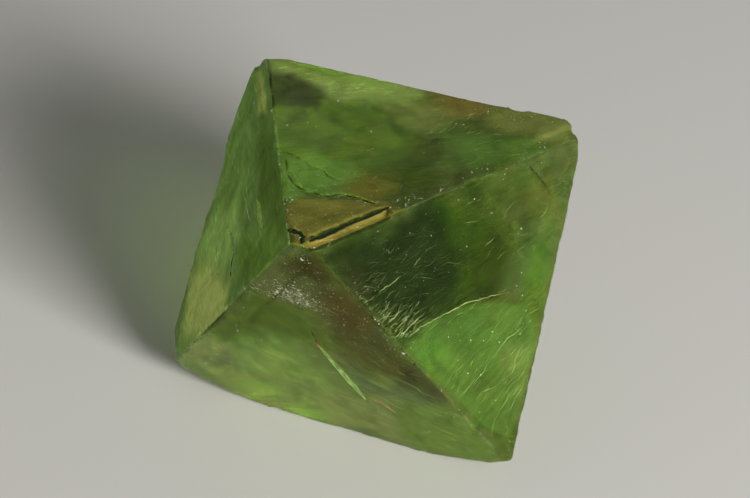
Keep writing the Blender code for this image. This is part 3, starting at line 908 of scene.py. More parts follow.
def stone_material(settings):
    """Clear green stone: skin tinted in zones of colour and of painted light and shade, mottled, satin where
    frosted, and absorption inside.
    """
    material = bpy.data.materials.new("clear_green_fluorite")
    material.use_nodes = True
    tree = material.node_tree
    shader = tree.nodes["Principled BSDF"]
    attributes, texture = surface_inputs(tree, ("tint", "frost", "flow"))
    color = shaded(tree, attributes["tint"].outputs["Color"], texture, STONE_SHADES)
    hue = map_range(tree, texture["Hues"], 0.35, 0.65, 0.84, 1.16)
    redder = add_node(tree, "ShaderNodeCombineXYZ", {"Y": 1.0, "Z": 1.0}, {"X": hue})
    warmed = vector_math(tree, 'MULTIPLY', color, 1, redder.outputs["Vector"])
    tree.links.new(warmed, shader.inputs["Base Color"])

    worn = tree.nodes.new("ShaderNodeMath")
    tree.links.new(attributes["frost"].outputs["Fac"], worn.inputs[0])
    tree.links.new(map_range(tree, texture["Specks"], 0.35, 0.75, 0.0, 0.05), worn.inputs[1])
    satin = map_range(tree, worn.outputs["Value"], 0.0, 1.0, settings.roughness, settings.frost_roughness)
    tree.links.new(satin, shader.inputs["Roughness"])

    relief = tree.nodes.new("ShaderNodeMath")
    relief.operation = 'MULTIPLY_ADD'
    relief.inputs[1].default_value = 0.02
    tree.links.new(texture["Specks"], relief.inputs[0])
    tree.links.new(texture["Streaks"], relief.inputs[2])
    bump = add_node(tree, "ShaderNodeBump", {"Strength": 0.22, "Distance": 0.06 * MM},
                    {"Height": relief.outputs["Value"]})
    tree.links.new(bump.outputs["Normal"], shader.inputs["Normal"])

    shader.inputs["IOR"].default_value = IOR
    shader.inputs["Specular Tint"].default_value = (*settings.gleam_color, 1.0)
    shader.inputs["Transmission Weight"].default_value = settings.clearness
    volume = add_node(tree, "ShaderNodeVolumeAbsorption", {"Color": (*settings.depth_color, 1.0),
                                                           "Density": settings.density})
    tree.links.new(volume.outputs["Volume"], tree.nodes["Material Output"].inputs["Volume"])
    return material


class FLUORITE_OT_stone(Operator):
    """The stone's worn and stepped skin"""
    bl_idname = "fluorite.stone"
    bl_label = "Make the Stone"

    def execute(self, context):
        settings = context.scene.fluorite_stone
        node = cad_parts[STONE]
        stone = add_to_scene(SKIN, node.data.copy())
        remesh = stone.modifiers.new("skin", 'REMESH')
        remesh.mode = 'VOXEL'
        remesh.voxel_size = settings.grain
        wrap = stone.modifiers.new("snap", 'SHRINKWRAP')
        wrap.target = node
        wrap.wrap_method = 'NEAREST_SURFACEPOINT'
        stone.data = evaluated_copy(stone)
        stone.modifiers.remove(remesh)
        refine_mesh(stone.data, settings.fine_reach)
        stone.data = evaluated_copy(stone)
        stone.modifiers.clear()
        carve_skin(stone.data, settings.wear)
        stone.data.shade_smooth()
        paint_skin(stone.data, settings)
        stone.data.materials.clear()
        stone.data.materials.append(stone_material(settings))
        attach(stone, BODY)
        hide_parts(STONE)
        return {'FINISHED'}


# ---------------------------------------------------------------- lines, films, crumbs and flakes
class DetailSettings(PropertyGroup):
    """The lines, cracks, films, crumbs and flakes on the skin."""
    line_color: FloatVectorProperty(name="Crack lines", description="Colour of the pale crack lines",
                                    size=3, subtype='COLOR', default=(0.44, 0.56, 0.19))
    shadow_color: FloatVectorProperty(name="Dark cracks", description="Colour down in the open cracks",
                                      size=3, subtype='COLOR', default=(0.007, 0.011, 0.005))
    crumb_color: FloatVectorProperty(name="Crumbs", description="Colour of the crushed white crumbs",
                                     size=3, subtype='COLOR', default=(0.88, 0.92, 0.80))
    wisp_color: FloatVectorProperty(name="Frost", description="Colour of the frosted wisps and flakes",
                                    size=3, subtype='COLOR', default=(0.80, 0.85, 0.60))
    line_width: FloatProperty(name="Line width", description="Width of the boldest crack line",
                              default=0.14 * MM, unit='LENGTH')
    least_cover: FloatProperty(name="Least cover", description="Cover under which no film is laid",
                               default=0.04, subtype='FACTOR')
    # the film carries wear, painted light and painted shade
    film_gap: FloatProperty(name="Film gap", description="Height of the film of wear, light and shade over the skin",
                            default=0.02 * MM, unit='LENGTH')
    crumbs: IntProperty(name="Crumbs", description="Number of loose crumbs over the faces", default=2600)
    seed: IntProperty(name="Seed", description="Start of the random numbers", default=7)


class LineSwarm(NamedTuple):
    """Fine lines in a patch: turn from the face's grain in degrees, length in mm, share of the full width."""
    face: str
    count: int
    turn: float
    shortest: float
    longest: float
    share: float
    corners: tuple


class WispSwarm(NamedTuple):
    """Frosted wisps in a patch: their heading in degrees and their length in mm."""
    face: str
    count: int
    heading: float
    shortest: float
    longest: float
    corners: tuple


class Sliver(NamedTuple):
    """A sliver of split stone: the corners of its middle line in mm, each with the width there."""
    face: str
    color: tuple
    line: tuple


# The boldest pale crack lines: the face, the share of the full width, and corners in mm.
PALE_LINES = (
    ("right_front", 1.0, ((-9.7, -2.0), (-8.7, -1.4), (-7.5, -0.9), (-6.5, -0.6), (-5.8, -0.2))),
    ("right_front", 0.9, ((-11.0, 0.0), (-9.9, 0.5), (-8.8, 0.9))),
    ("right_front", 0.7, ((-12.0, 1.2), (-11.1, 1.6), (-10.1, 1.8))),
    ("right_front", 0.8, ((-10.3, -1.0), (-9.0, -0.5), (-7.9, 0.1), (-7.2, 0.4))),
    ("right_front", 0.6, ((-11.0, 2.6), (-9.9, 3.1), (-9.1, 3.3))),
    ("right_front", 1.0, ((-8.7, -2.3), (-7.1, -1.8), (-5.4, -1.7), (-3.9, -1.6), (-2.2, -1.5),
        (-0.9, -1.4), (1.0, -1.7), (2.8, -1.9), (5.0, -2.4))),
    ("right_front", 0.5, ((-8.7, 1.8), (-6.8, 1.8), (-4.6, 1.1), (-2.9, 1.2), (-1.4, 1.1))),
    ("right_front", 0.5, ((-11.6, 3.2), (-10.4, 3.7), (-9.2, 4.1))),
    ("right_front", 0.65, ((5.8, -6.7), (4.6, -7.0), (3.4, -7.1), (2.1, -7.9), (1.0, -8.8))),
    ("right_front", 0.4, ((3.1, -5.0), (2.1, -5.4), (1.3, -6.4), (0.6, -6.6))),
    ("right_front", 0.5, ((8.4, -5.5), (7.4, -5.5), (6.6, -5.6))),
    ("right_front", 0.5, ((5.2, -8.6), (4.0, -9.8), (3.3, -11.2), (2.1, -11.4), (1.0, -11.9))),
    ("right_front", 0.4, ((5.1, -12.7), (3.6, -13.1), (2.0, -14.0))),
    ("right_front", 0.5, ((1.0, -11.9), (-1.1, -11.7), (-1.8, -12.3))),
    ("right_front", 0.5, ((-1.4, -9.8), (-2.8, -10.7), (-4.0, -11.2))),
    ("right_front", 0.5, ((-2.3, -7.7), (-3.5, -8.1), (-4.7, -9.2))),
    ("right_front", 0.4, ((0.7, -14.7), (-0.2, -15.4), (-1.1, -17.1))),
    ("right_front", 0.9, ((-11.7, 3.3), (-10.8, 3.9), (-9.3, 4.1), (-8.4, 4.4), (-7.5, 4.6))),
    ("right_front", 0.8, ((-6.5, 4.8), (-5.9, 5.3), (-5.1, 5.6))),
    ("right_front", 0.5, ((-13.8, 3.7), (-13.2, 4.4), (-12.3, 4.8), (-11.5, 5.0))),
    ("right_front", 0.4, ((-6.6, 1.4), (-4.5, 1.0), (-3.1, 1.3), (-1.2, 1.0), (-0.5, 0.8))),
    ("lower_front", 0.6, ((8.8, 2.4), (10.4, 2.2), (11.9, 1.7), (12.6, 0.9), (14.8, 0.7))),
    ("lower_front", 0.4, ((5.7, 7.3), (7.1, 7.1), (8.6, 6.7), (10.3, 5.7))),
    ("top", 0.25, ((10.8, 0.9), (12.5, 0.0), (14.1, -2.0), (14.1, -3.5))),
    ("left_front", 0.7, ((3.8, 5.4), (5.9, 5.4), (7.7, 5.6), (9.5, 5.7))),
)

LINE_SWARMS = (
    LineSwarm("right_front", 140, -6.0, 0.6, 3.2, 0.28, ((-15.0, 4.5), (-13.0, 7.0), (-6.0, 7.0),
        (-2.5, 3.5), (-5.0, -0.8), (-10.0, -2.0))),
    LineSwarm("right_front", 150, 6.0, 0.4, 2.2, 0.4, ((-12.6, 0.8), (-9.5, 2.5), (-6.5, 0.5), (-8.0, -2.4),
        (-10.4, -2.0))),
    LineSwarm("right_front", 90, 8.0, 0.2, 1.5, 0.32, ((-14.6, 4.2), (-12.8, 6.0), (-10.6, 5.0),
        (-9.6, 1.6), (-12.4, 0.6))),
    LineSwarm("right_front", 30, -4.0, 0.5, 2.4, 0.26, ((-9.0, -2.6), (-6.0, 0.8), (0.0, 0.4),
        (4.5, -2.4))),
    LineSwarm("right_front", 110, 0.0, 0.6, 2.6, 0.24, ((-15.0, 5.0), (-13.0, 9.8), (-3.0, 9.0),
        (-5.0, 4.0))),
    LineSwarm("right_front", 34, 10.0, 0.8, 3.4, 0.3, ((-5.0, -10.0), (2.0, -3.5), (8.5, -3.5),
        (2.0, -16.0))),
    LineSwarm("right_front", 30, 14.0, 0.6, 2.2, 0.26, ((-1.0, 1.0), (1.0, 9.0), (13.0, 9.0), (9.0, 0.0))),
    LineSwarm("lower_front", 60, -10.0, 0.6, 2.8, 0.28, ((0.0, 12.0), (3.5, 14.0), (15.0, 2.0),
        (4.0, 2.0))),
    LineSwarm("lower_front", 30, 6.0, 1.0, 4.0, 0.24, ((-14.0, -5.0), (-2.0, 2.0), (16.0, -2.0),
        (16.0, -6.5))),
    LineSwarm("top", 30, -55.0, 0.6, 2.4, 0.28, ((-8.0, -6.0), (-2.0, -4.0), (5.0, -9.0), (0.0, -12.0))),
    LineSwarm("top", 40, 25.0, 0.5, 2.0, 0.26, ((2.0, 3.0), (5.0, 8.0), (15.0, 8.0), (11.0, -3.0))),
    LineSwarm("left_front", 150, 0.0, 0.8, 3.4, 0.34, ((-6.0, 4.0), (0.0, 9.0), (18.0, 9.0), (12.0, -6.0),
        (4.0, -5.0))),
)


class Ground:
    """A mesh to set details on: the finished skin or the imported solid."""
    REACH = 3.0         # how far in mm the surface is looked for above and below a face's plane

    def __init__(self, mesh):
        self.tree = BVHTree.FromPolygons([vertex.co for vertex in mesh.vertices],
                                         [tuple(polygon.vertices) for polygon in mesh.polygons])

    def place(self, face_name, right_mm, up_mm, sunk_mm=0.0, levelness=0.7):
        """The skin's point over a place on a face, sunk by some mm, unless it is too steep there."""
        face = FACES[face_name]
        start = face.point(right_mm, up_mm, -self.REACH)
        hit, normal, _, _ = self.tree.ray_cast(start, -face.normal, 2.0 * self.REACH * MM)
        if hit is None or normal.dot(face.normal) < levelness:
            return None
        return hit - face.normal * sunk_mm * MM


def finished_skin():
    """The stone's finished skin, which the other pieces lie on."""
    stone = bpy.data.objects.get(SKIN)
    if stone is None:
        raise RuntimeError("The stone has to be made before the pieces that lie on it")
    return stone.data


def add_piece(name, mesh, material):
    """Put a finished mesh in the scene as a piece of the stone."""
    mesh.name = name
    mesh.materials.clear()
    mesh.materials.append(material)
    piece = add_to_scene(name, mesh)
    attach(piece, BODY)
    return piece


def finish_mesh(bm, name, material):
    """A piece made from a mesh that is still being built."""
    if not bm.faces:
        raise RuntimeError(f"No part of {name} lies on the stone")
    bmesh.ops.recalc_face_normals(bm, faces=bm.faces[:])
    mesh = bpy.data.meshes.new(name)
    bm.to_mesh(mesh)
    bm.free()
    return add_piece(name, mesh, material)


SHORTEST_THREAD = 3         # points; a shorter thread is left out


def thread_piece(name, threads, material):
    """One piece of thin tapered threads; each is a list of points and radii in metres."""
    curve = bpy.data.curves.new(name, 'CURVE')
    curve.dimensions = '3D'
    curve.bevel_depth = 1.0
    curve.bevel_resolution = 0
    curve.use_fill_caps = True
    for thread in threads:
        if len(thread) < SHORTEST_THREAD:
            continue
        spline = curve.splines.new('POLY')
        spline.points.add(len(thread) - 1)
        for point, (place, radius) in zip(spline.points, thread):
            point.co = (*place, 1.0)
            point.radius = radius
    guide = add_to_scene(name, curve)
    mesh = evaluated_copy(guide)
    bpy.data.objects.remove(guide)
    bpy.data.curves.remove(curve)
    bm = bmesh.new()
    bm.from_mesh(mesh)
    bmesh.ops.remove_doubles(bm, verts=bm.verts[:], dist=1e-7)
    return finish_mesh(bm, name, material)


LINE_WANDER = 0.28          # how far a fine line turns at each step, in radians
LINE_RETURN = 0.35          # the share of its turn that it makes good at each step


def wandering_line(start, turn, length, rng, step=0.3):
    """Corners in mm of a line that starts at a place and wanders round a direction."""
    corners = [start]
    heading = turn
    for _ in range(max(2, int(length / step))):
        heading += rng.gauss(0.0, LINE_WANDER) - LINE_RETURN * (heading - turn)
        right, up = corners[-1]
        corners.append((right + step * math.cos(heading), up + step * math.sin(heading)))
    return corners


def resampled(corners, step, rng, shake):
    """A line of corners with a point every step, shaken a little sideways."""
    points = []
    for start, end in zip(corners, corners[1:]):
        count = max(1, round(math.dist(start, end) / step))
        for index in range(count):
            share = index / count
            points.append((start[0] + share * (end[0] - start[0]) + rng.uniform(-shake, shake),
                           start[1] + share * (end[1] - start[1]) + rng.uniform(-shake, shake)))
    points.append(corners[-1])
    return points


TAPER_START = 0.08              # where in the taper's curve a thread begins
TAPER_POWER = 0.6               # under 1, a thread stays wide for longer
LEAST_TAPER = 0.2               # the share of its width that a thread keeps at its ends


def thread_on(ground, face, corners, width_mm, sunk_mm):
    """A tapered thread of points and radii along a line on the skin."""
    thread = []
    for index, (right, up) in enumerate(corners):
        place = ground.place(face, right, up, sunk_mm)
        if place is None:
            continue
        share = index / (len(corners) - 1)
        swell = math.sin(math.pi * min(1.0, TAPER_START + (1.0 - TAPER_START) * share))
        taper = max(LEAST_TAPER, swell ** TAPER_POWER)
        thread.append((place, 0.5 * width_mm * taper * MM))
    return thread


def random_in_patch(corners, rng):
    """A random place in mm inside a patch."""
    rights, ups = zip(*corners)
    while True:
        right, up = rng.uniform(min(rights), max(rights)), rng.uniform(min(ups), max(ups))
        inside = False
        for (x0, y0), (x1, y1) in zip(corners, corners[1:] + corners[:1]):
            if (y0 > up) != (y1 > up) and right < (x1 - x0) * (up - y0) / (y1 - y0) + x0:
                inside = not inside
        if inside:
            return right, up


def plain_material(name, color, roughness):
    """A plain, solid material; its reflections can be changed by whoever asks for it."""
    material = bpy.data.materials.new(name)
    material.use_nodes = True
    shader = material.node_tree.nodes["Principled BSDF"]
    shader.inputs["Base Color"].default_value = (*color, 1.0)
    shader.inputs["Roughness"].default_value = roughness
    shader.inputs["IOR"].default_value = IOR
    return material


def mottled_material(name, color, size_mm, roughness, contrast=0.5):
    """A plain material whose colour is broken up by fine noise."""
    material = plain_material(name, color, roughness)
    tree = material.node_tree
    place = tree.nodes.new("ShaderNodeTexCoord").outputs["Object"]
    mottle = add_group(tree, "fine_mottle", {"Color": (*color, 1.0), "Scale": 1.0 / (size_mm * MM),
                                             "Lowest": 1.0 - contrast}, {"Place": place})
    tree.links.new(mottle.outputs["Color"], tree.nodes["Principled BSDF"].inputs["Base Color"])
    return material


# Along a bold line: the step between its points, and how far they are shaken sideways, in mm.
PALE_STEP, PALE_SHAKE = 0.22, 0.07
DARK_STEP, DARK_SHAKE = 0.18, 0.06
LINE_TURN = 9.0                 # how far the fine lines turn from one another, in degrees
LINE_WIDTHS = (0.4, 1.3)        # the narrowest and widest fine lines, as shares of their swarm's width
LINE_SUNK = 0.02                # how deep the lines are pressed into the skin, in mm


class FLUORITE_OT_pale_lines(Operator):
    """Pale hackle lines at the rims of small cleavage cracks"""
    bl_idname = "fluorite.pale_lines"
    bl_label = "Make the Pale Crack Lines"

    def execute(self, context):
        settings = context.scene.fluorite_detail
        ground = Ground(finished_skin())
        rng = random.Random(settings.seed)
        bold = settings.line_width / MM
        threads = []
        for face, share, corners in PALE_LINES:
            line = resampled(corners, PALE_STEP, rng, PALE_SHAKE)
            threads.append(thread_on(ground, face, line, bold * share, LINE_SUNK))
        for swarm in LINE_SWARMS:
            grain = GRAIN[swarm.face]
            for _ in range(swarm.count):
                start = random_in_patch(swarm.corners, rng)
                length = rng.uniform(swarm.shortest, swarm.longest)
                turn = grain.run + grain.bend * start[1] + swarm.turn + rng.gauss(0.0, LINE_TURN)
                line = wandering_line(start, math.radians(turn), length, rng)
                width = bold * swarm.share * rng.uniform(*LINE_WIDTHS)
                threads.append(thread_on(ground, swarm.face, line, width, rng.uniform(0.0, LINE_SUNK)))
        material = mottled_material("pale_crack", settings.line_color, 0.9, 0.8, 0.6)
        thread_piece("pale_crack_lines", threads, material)
        return {'FINISHED'}


DASH_LENGTHS = (4, 14)          # the shortest and longest dashes of a dark crack, in points
LONGEST_GAP = 3                 # the longest gap between two dashes, in points
DASH_WIDTHS = (0.35, 0.75)      # the narrowest and widest dashes, as shares of the crack's width
DASH_SUNK = 0.15                # how deep they lie, as a share of it


class FLUORITE_OT_dark_cracks(Operator):
    """The shadowed depth of the open cracks"""
    bl_idname = "fluorite.dark_cracks"
    bl_label = "Make the Dark Cracks"

    def execute(self, context):
        settings = context.scene.fluorite_detail
        ground = Ground(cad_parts[STONE].data)
        rng = random.Random(settings.seed + 1)
        threads = []
        for crack in CRACKS:
            line = resampled(crack.line, DARK_STEP, rng, DARK_SHAKE)
            start = 0
            while start < len(line) - SHORTEST_THREAD:
                length = rng.randint(*DASH_LENGTHS)
                dash = line[start:start + length]
                width = rng.uniform(*DASH_WIDTHS) * crack.width
                threads.append(thread_on(ground, crack.face, dash, width, DASH_SUNK * crack.width))
                start += length + rng.randint(0, LONGEST_GAP)
        thread_piece("dark_cracks", threads, plain_material("crack_shadow", settings.shadow_color, 0.5))
        return {'FINISHED'}


# Slivers lying in the skin. The lower strip is a split lit by painted light, and the hook's bar and arm are
# painted shade in the hook-shaped crack on the top.
SLIVERS = {
    "lower_lit_strip": Sliver("lower_front", (0.38, 0.62, 0.18), ((0.9, 4.7, 0.16), (1.5, 3.3, 0.34),
        (2.6, 1.1, 0.5), (3.7, -1.0, 0.62), (4.5, -2.6, 0.46), (5.2, -3.9, 0.1))),
    "rusty_tip": Sliver("lower_front", (0.34, 0.20, 0.08), ((0.5, 5.6, 0.1), (0.9, 4.7, 0.3),
        (1.3, 3.8, 0.14))),
    "rusty_line": Sliver("lower_front", (0.40, 0.30, 0.12), ((5.4, -3.5, 0.08), (6.6, -3.6, 0.24),
        (8.0, -4.3, 0.2), (8.7, -5.0, 0.06))),
    "left_sliver": Sliver("left_front", (0.68, 1.00, 0.22), ((3.6, 5.3, 0.2), (5.0, 5.5, 0.9),
        (7.0, 5.6, 1.3), (8.6, 5.7, 0.8), (9.6, 5.9, 0.2))),
    "left_low": Sliver("left_front", (0.66, 0.86, 0.34), ((-1.4, 2.4, 0.12), (1.0, 2.7, 0.44),
        (3.4, 2.9, 0.34), (4.8, 3.2, 0.12))),
    "left_outer": Sliver("left_front", (0.50, 0.78, 0.26), ((0.0, -1.9, 0.2), (2.4, -1.7, 1.0),
        (5.0, -1.4, 0.2))),
    # painted shade in the hook-shaped crack
    "hook_bar": Sliver("top", (0.035, 0.085, 0.018), ((0.5, -20.3, 0.24), (1.0, -21.0, 0.46),
        (1.5, -21.9, 0.44), (1.95, -22.9, 0.24))),
    "hook_arm": Sliver("top", (0.018, 0.04, 0.01), ((-1.0, -20.2, 0.16), (-0.4, -20.3, 0.6),
        (0.4, -20.4, 0.62), (1.2, -20.9, 0.36))),
}

# The painted shadow on the cleft's wall: its line on the top face in mm with the width down the wall in mm.
CLEFT_WALL = ((1.9, -21.2, 0.30), (2.6, -20.0, 0.48), (3.4, -18.6, 0.54), (4.2, -17.25, 0.50),
              (4.9, -16.0, 0.34), (5.7, -14.7, 0.26), (6.4, -13.5, 0.24), (7.0, -12.4, 0.08))


# The corners round a sliver: the side, and how deep in mm they lie under the skin.
SLIVER_CORNERS = ((-1.0, -0.04), (1.0, -0.04), (1.0, 0.06), (-1.0, 0.06))
SLIVER_WIDTHS = (0.85, 1.1)     # how much a sliver's width varies
WALL_OUT = 0.04                 # how far the cleft's wall stands out and lies under the top, in mm
WALL_BACK = 0.05                # how far it reaches back into the stone, in mm


def split_line(line):
    """A line of places and widths with three more points between each two."""
    rows = []
    for start, end in zip(line, line[1:]):
        for share in (0.0, 0.25, 0.5, 0.75):
            rows.append(tuple(a + share * (b - a) for a, b in zip(start, end)))
    return rows + [line[-1]]


def ribbon_mesh(rings):
    """A closed bar through rings of four corners each."""
    bm = bmesh.new()
    rings = [[bm.verts.new(corner) for corner in ring] for ring in rings]
    for ring, after in zip(rings, rings[1:]):
        for corner in range(4):
            ahead = (corner + 1) % 4
            bm.faces.new((ring[corner], ring[ahead], after[ahead], after[corner]))
    bm.faces.new(rings[0])
    bm.faces.new(reversed(rings[-1]))
    return bm


def dull(material, gleam=0.0):
    """The same material with less or no reflection."""
    material.node_tree.nodes["Principled BSDF"].inputs["Specular IOR Level"].default_value = gleam
    return material


def sliver_rings(ground, sliver, rng):
    """The rings of four corners along a sliver, from under the skin to just over it."""
    start, end = sliver.line[0], sliver.line[-1]
    run = Vector((end[0] - start[0], end[1] - start[1])).normalized()
    rings = []
    for right, up, width in split_line(sliver.line):
        ring = []
        for side, sunk in SLIVER_CORNERS:
            reach = 0.5 * side * width * rng.uniform(*SLIVER_WIDTHS)
            ring.append(ground.place(sliver.face, right - run.y * reach, up + run.x * reach, sunk, 0.2))
        if None not in ring:
            rings.append(ring)
    return rings


def cleft_rings(rng):
    """The rings of the cleft's wall, which goes down from the top face along the right front face."""
    wall, top = FACES["right_front"], FACES["top"]
    level = top.normal.cross(wall.normal).normalized()
    down = wall.normal.cross(level)
    down *= -math.copysign(1.0, down.dot(top.normal))
    rings = []
    for right, up, width in split_line(CLEFT_WALL):
        start = top.point(right, up, WALL_OUT) + wall.normal * WALL_OUT * MM
        end = start + down * width * rng.uniform(*SLIVER_WIDTHS) * MM
        back = wall.normal * WALL_BACK * MM
        rings.append((start, end, end - back, start - back))
    return rings


class FLUORITE_OT_slivers(Operator):
    """Bright and dark slivers of split stone, one lit by painted light and two dark with painted shade, and
    the cleft's wall of painted shadow
    """
    bl_idname = "fluorite.slivers"
    bl_label = "Make the Slivers"

    def execute(self, context):
        settings = context.scene.fluorite_detail
        ground = Ground(finished_skin())
        rng = random.Random(settings.seed + 4)
        for name, sliver in SLIVERS.items():
            bar = ribbon_mesh(sliver_rings(ground, sliver, rng))
            finish_mesh(bar, name, dull(mottled_material(name, sliver.color, 0.4, 0.8)))
        shadow = dull(plain_material("cleft_shadow", settings.shadow_color, 0.9), 0.1)
        finish_mesh(ribbon_mesh(cleft_rings(rng)), "cleft_wall_shadow", shadow)
        return {'FINISHED'}


WISP_SWARMS = (
    WispSwarm("lower_front", 170, -8.0, 0.2, 1.0, ((-7.4, 12.6), (-4.5, 14.2), (0.0, 15.2), (2.4, 13.2),
        (1.7, 11.7), (-3.0, 11.9))),
    WispSwarm("lower_front", 180, -22.0, 0.2, 0.8, ((-3.0, 12.7), (-1.8, 14.2), (0.4, 13.8), (1.4, 12.1),
        (-0.6, 11.9))),
    WispSwarm("lower_front", 50, -30.0, 0.2, 0.6, ((-3.0, 15.0), (0.5, 19.0), (3.0, 16.0), (3.4, 11.5),
        (0.0, 12.5))),
    WispSwarm("top", 40, -50.0, 0.2, 0.5, ((-1.4, -20.8), (1.0, -20.4), (3.4, -21.8), (1.6, -23.2))),
)


WISP_TURN = 24.0                # how far the wisps turn from one another, in degrees
WISP_STEP = 0.16                # the step between a wisp's points, in mm
WISP_WIDTHS = (0.03, 0.09)      # the narrowest and widest wisps, in mm
WISP_SUNK = 0.01                # how deep they are pressed into the skin, in mm


class FLUORITE_OT_wisps(Operator):
    """White wisps in the crushed, frosted patches"""
    bl_idname = "fluorite.wisps"
    bl_label = "Make the Frosted Wisps"

    def execute(self, context):
        settings = context.scene.fluorite_detail
        ground = Ground(finished_skin())
        rng = random.Random(settings.seed + 5)
        threads = []
        for swarm in WISP_SWARMS:
            for _ in range(swarm.count):
                heading = math.radians(swarm.heading + rng.gauss(0.0, WISP_TURN))
                start = random_in_patch(swarm.corners, rng)
                length = rng.uniform(swarm.shortest, swarm.longest)
                line = wandering_line(start, heading, length, rng, WISP_STEP)
                threads.append(thread_on(ground, swarm.face, line, rng.uniform(*WISP_WIDTHS), WISP_SUNK))
        material = mottled_material("frost_wisp", settings.wisp_color, 0.25, 0.8, 0.6)
        thread_piece("frost_wisps", threads, material)
        return {'FINISHED'}


# Films of wear, painted light and painted shade: the zone that each covers, its colour and how dense it is.
# Later ones lie over earlier ones.
# The dark films are painted shade and the pale and lit ones painted light; near ridge and hem ridge
# and the stone's own colour, and the upper rim film is frost with painted light.
# are painted shade over a ridge's bright line. The frosted ground, honey and rusty rim films are wear
FILMS = {
    "upper rim": ((0.42, 0.58, 0.15), 0.52),
    "under rim": ((0.36, 0.44, 0.12), 0.24),
    "rusty rim": ((0.46, 0.34, 0.09), 0.18),
    "olive rim": ((0.40, 0.44, 0.13), 0.2),
    "green band": ((0.20, 0.40, 0.08), 0.16),
    # painted shade on the top face's darkest corner
    "shaded top corner": ((0.07, 0.09, 0.045), 0.34),
    "lime patch": ((0.24, 0.50, 0.08), 0.26),
    "rust glow": ((0.34, 0.28, 0.05), 0.14),
    "honey window": ((0.38, 0.33, 0.07), 0.2),
    "honey step": ((0.50, 0.40, 0.08), 0.4),
    "dark core": ((0.02, 0.036, 0.01), 0.45),
    "core edge": ((0.05, 0.055, 0.02), 0.22),
    "lit fan": ((0.22, 0.50, 0.10), 0.05),
    "fan right": ((0.28, 0.60, 0.12), 0.07),
    # painted shade where dark surroundings show through the stone
    "brown apex": ((0.08, 0.07, 0.02), 0.4),
    "brown wedge": ((0.10, 0.10, 0.03), 0.28),
    "shaded reddish wedge": ((0.12, 0.07, 0.02), 0.34),
    "left shade": ((0.12, 0.18, 0.035), 0.36),
    "frosted ground": ((0.15, 0.165, 0.06), 0.42),
    "lit belly": ((0.34, 0.54, 0.13), 0.2),
    "pale hem": ((0.46, 0.60, 0.18), 0.11),
    "green hem": ((0.26, 0.42, 0.08), 0.2),
    # painted light and painted shade that hide the left face's reflection of the floor
    "left face": ((0.38, 0.64, 0.17), 0.66),
    "shaded band": ((0.25, 0.42, 0.08), 0.62),
    "inner shade": ((0.32, 0.56, 0.10), 0.62),
    "lit flank": ((0.60, 0.95, 0.25), 0.78),
    "pale corner": ((0.80, 1.00, 0.27), 0.97),
    "yellow strip": ((0.82, 1.00, 0.26), 0.88),
    # painted shade over the bright line along the ridge of the left front and lower front faces
    "near ridge": ((0.15, 0.25, 0.05), 0.9),
    "hem ridge": ((0.12, 0.16, 0.05), 0.75),
}


# The film pieces of wear, painted light and painted shade, and the cleavage faces that each one lies on.
FILM_PIECES = {
    "wear_light_and_shade_film_high": ("top", "right_front"),
    "wear_light_and_shade_film_low": ("left_front", "lower_front"),
}
FILM_FADE = (1.4, 1.6)      # how far a film fades out over and into its zone, in the zone's softness


def film_material():
    """A dull, partly see-through skin whose colour and cover come from the mesh."""
    # one material for the films of wear, painted light and painted shade
    material = dull(plain_material("wear_light_and_shade_film", (0.5, 0.5, 0.3), 0.8))
    tree = material.node_tree
    shader = tree.nodes["Principled BSDF"]
    attributes, texture = surface_inputs(tree, ("film_color", "cover", "flow"))
    color = shaded(tree, attributes["film_color"].outputs["Color"], texture, FILM_SHADES)
    tree.links.new(color, shader.inputs["Base Color"])
    cover = tree.nodes.new("ShaderNodeMath")
    cover.operation = 'MULTIPLY'
    cover.use_clamp = True
    tree.links.new(attributes["cover"].outputs["Fac"], cover.inputs[0])
    tree.links.new(map_range(tree, texture["Hues"], 0.34, 0.66, 0.90, 1.06), cover.inputs[1])
    tree.links.new(cover.outputs["Value"], shader.inputs["Alpha"])
    return material


def film_on_skin(skin):
    """Each point's film colour, cover and film piece; the piece is -1 where no film is laid."""
    color = np.full((len(skin.points), 3), 0.5)
    cover = np.zeros(len(skin.points))
    owner = np.full(len(skin.points), -1)
    owners = {face: number for number, faces in enumerate(FILM_PIECES.values()) for face in faces}
    for index, (name, (film_color, strength)) in enumerate(FILMS.items()):
        zone = ZONES[name]
        chosen, places, _ = skin.on_face(zone.face)
        share = zone_share(zone, places, SEEDS["film"] + index, *FILM_FADE)
        new_cover = strength * share
        old_cover = (1.0 - share) * cover[chosen]
        weight = new_cover / np.maximum(new_cover + old_cover, 1e-6)
        color[chosen] += weight[:, None] * (np.array(film_color) - color[chosen])
        cover[chosen] = new_cover + old_cover
        owner[chosen] = owners[zone.face]
    return color, cover, owner


def lay_film(name, skin_mesh, owned, color, cover, settings, material):
    """One closed film, a little above the part of the skin that it owns."""
    bm = bmesh.new()
    bm.from_mesh(skin_mesh)
    bm.verts.ensure_lookup_table()
    color_layer = bm.verts.layers.float_color.new("film_color")
    cover_layer = bm.verts.layers.float.new("cover")
    for vertex in bm.verts:
        vertex[color_layer] = (*color[vertex.index], 1.0)
        vertex[cover_layer] = cover[vertex.index]
    bare = [face for face in bm.faces if not owned[face.verts[0].index]
            or max(vertex[cover_layer] for vertex in face.verts) < settings.least_cover]
    bmesh.ops.delete(bm, geom=bare, context='FACES')
    for vertex in bm.verts:
        vertex.co += vertex.normal * settings.film_gap
    mesh = bpy.data.meshes.new(name)
    bm.to_mesh(mesh)
    bm.free()
    mesh.shade_smooth()
    film = add_piece(name, mesh, material)
    thicken = film.modifiers.new("closed", 'SOLIDIFY')
    thicken.thickness = 0.5 * settings.film_gap
    thicken.offset = -1.0
    film.data = evaluated_copy(film)
    film.modifiers.clear()


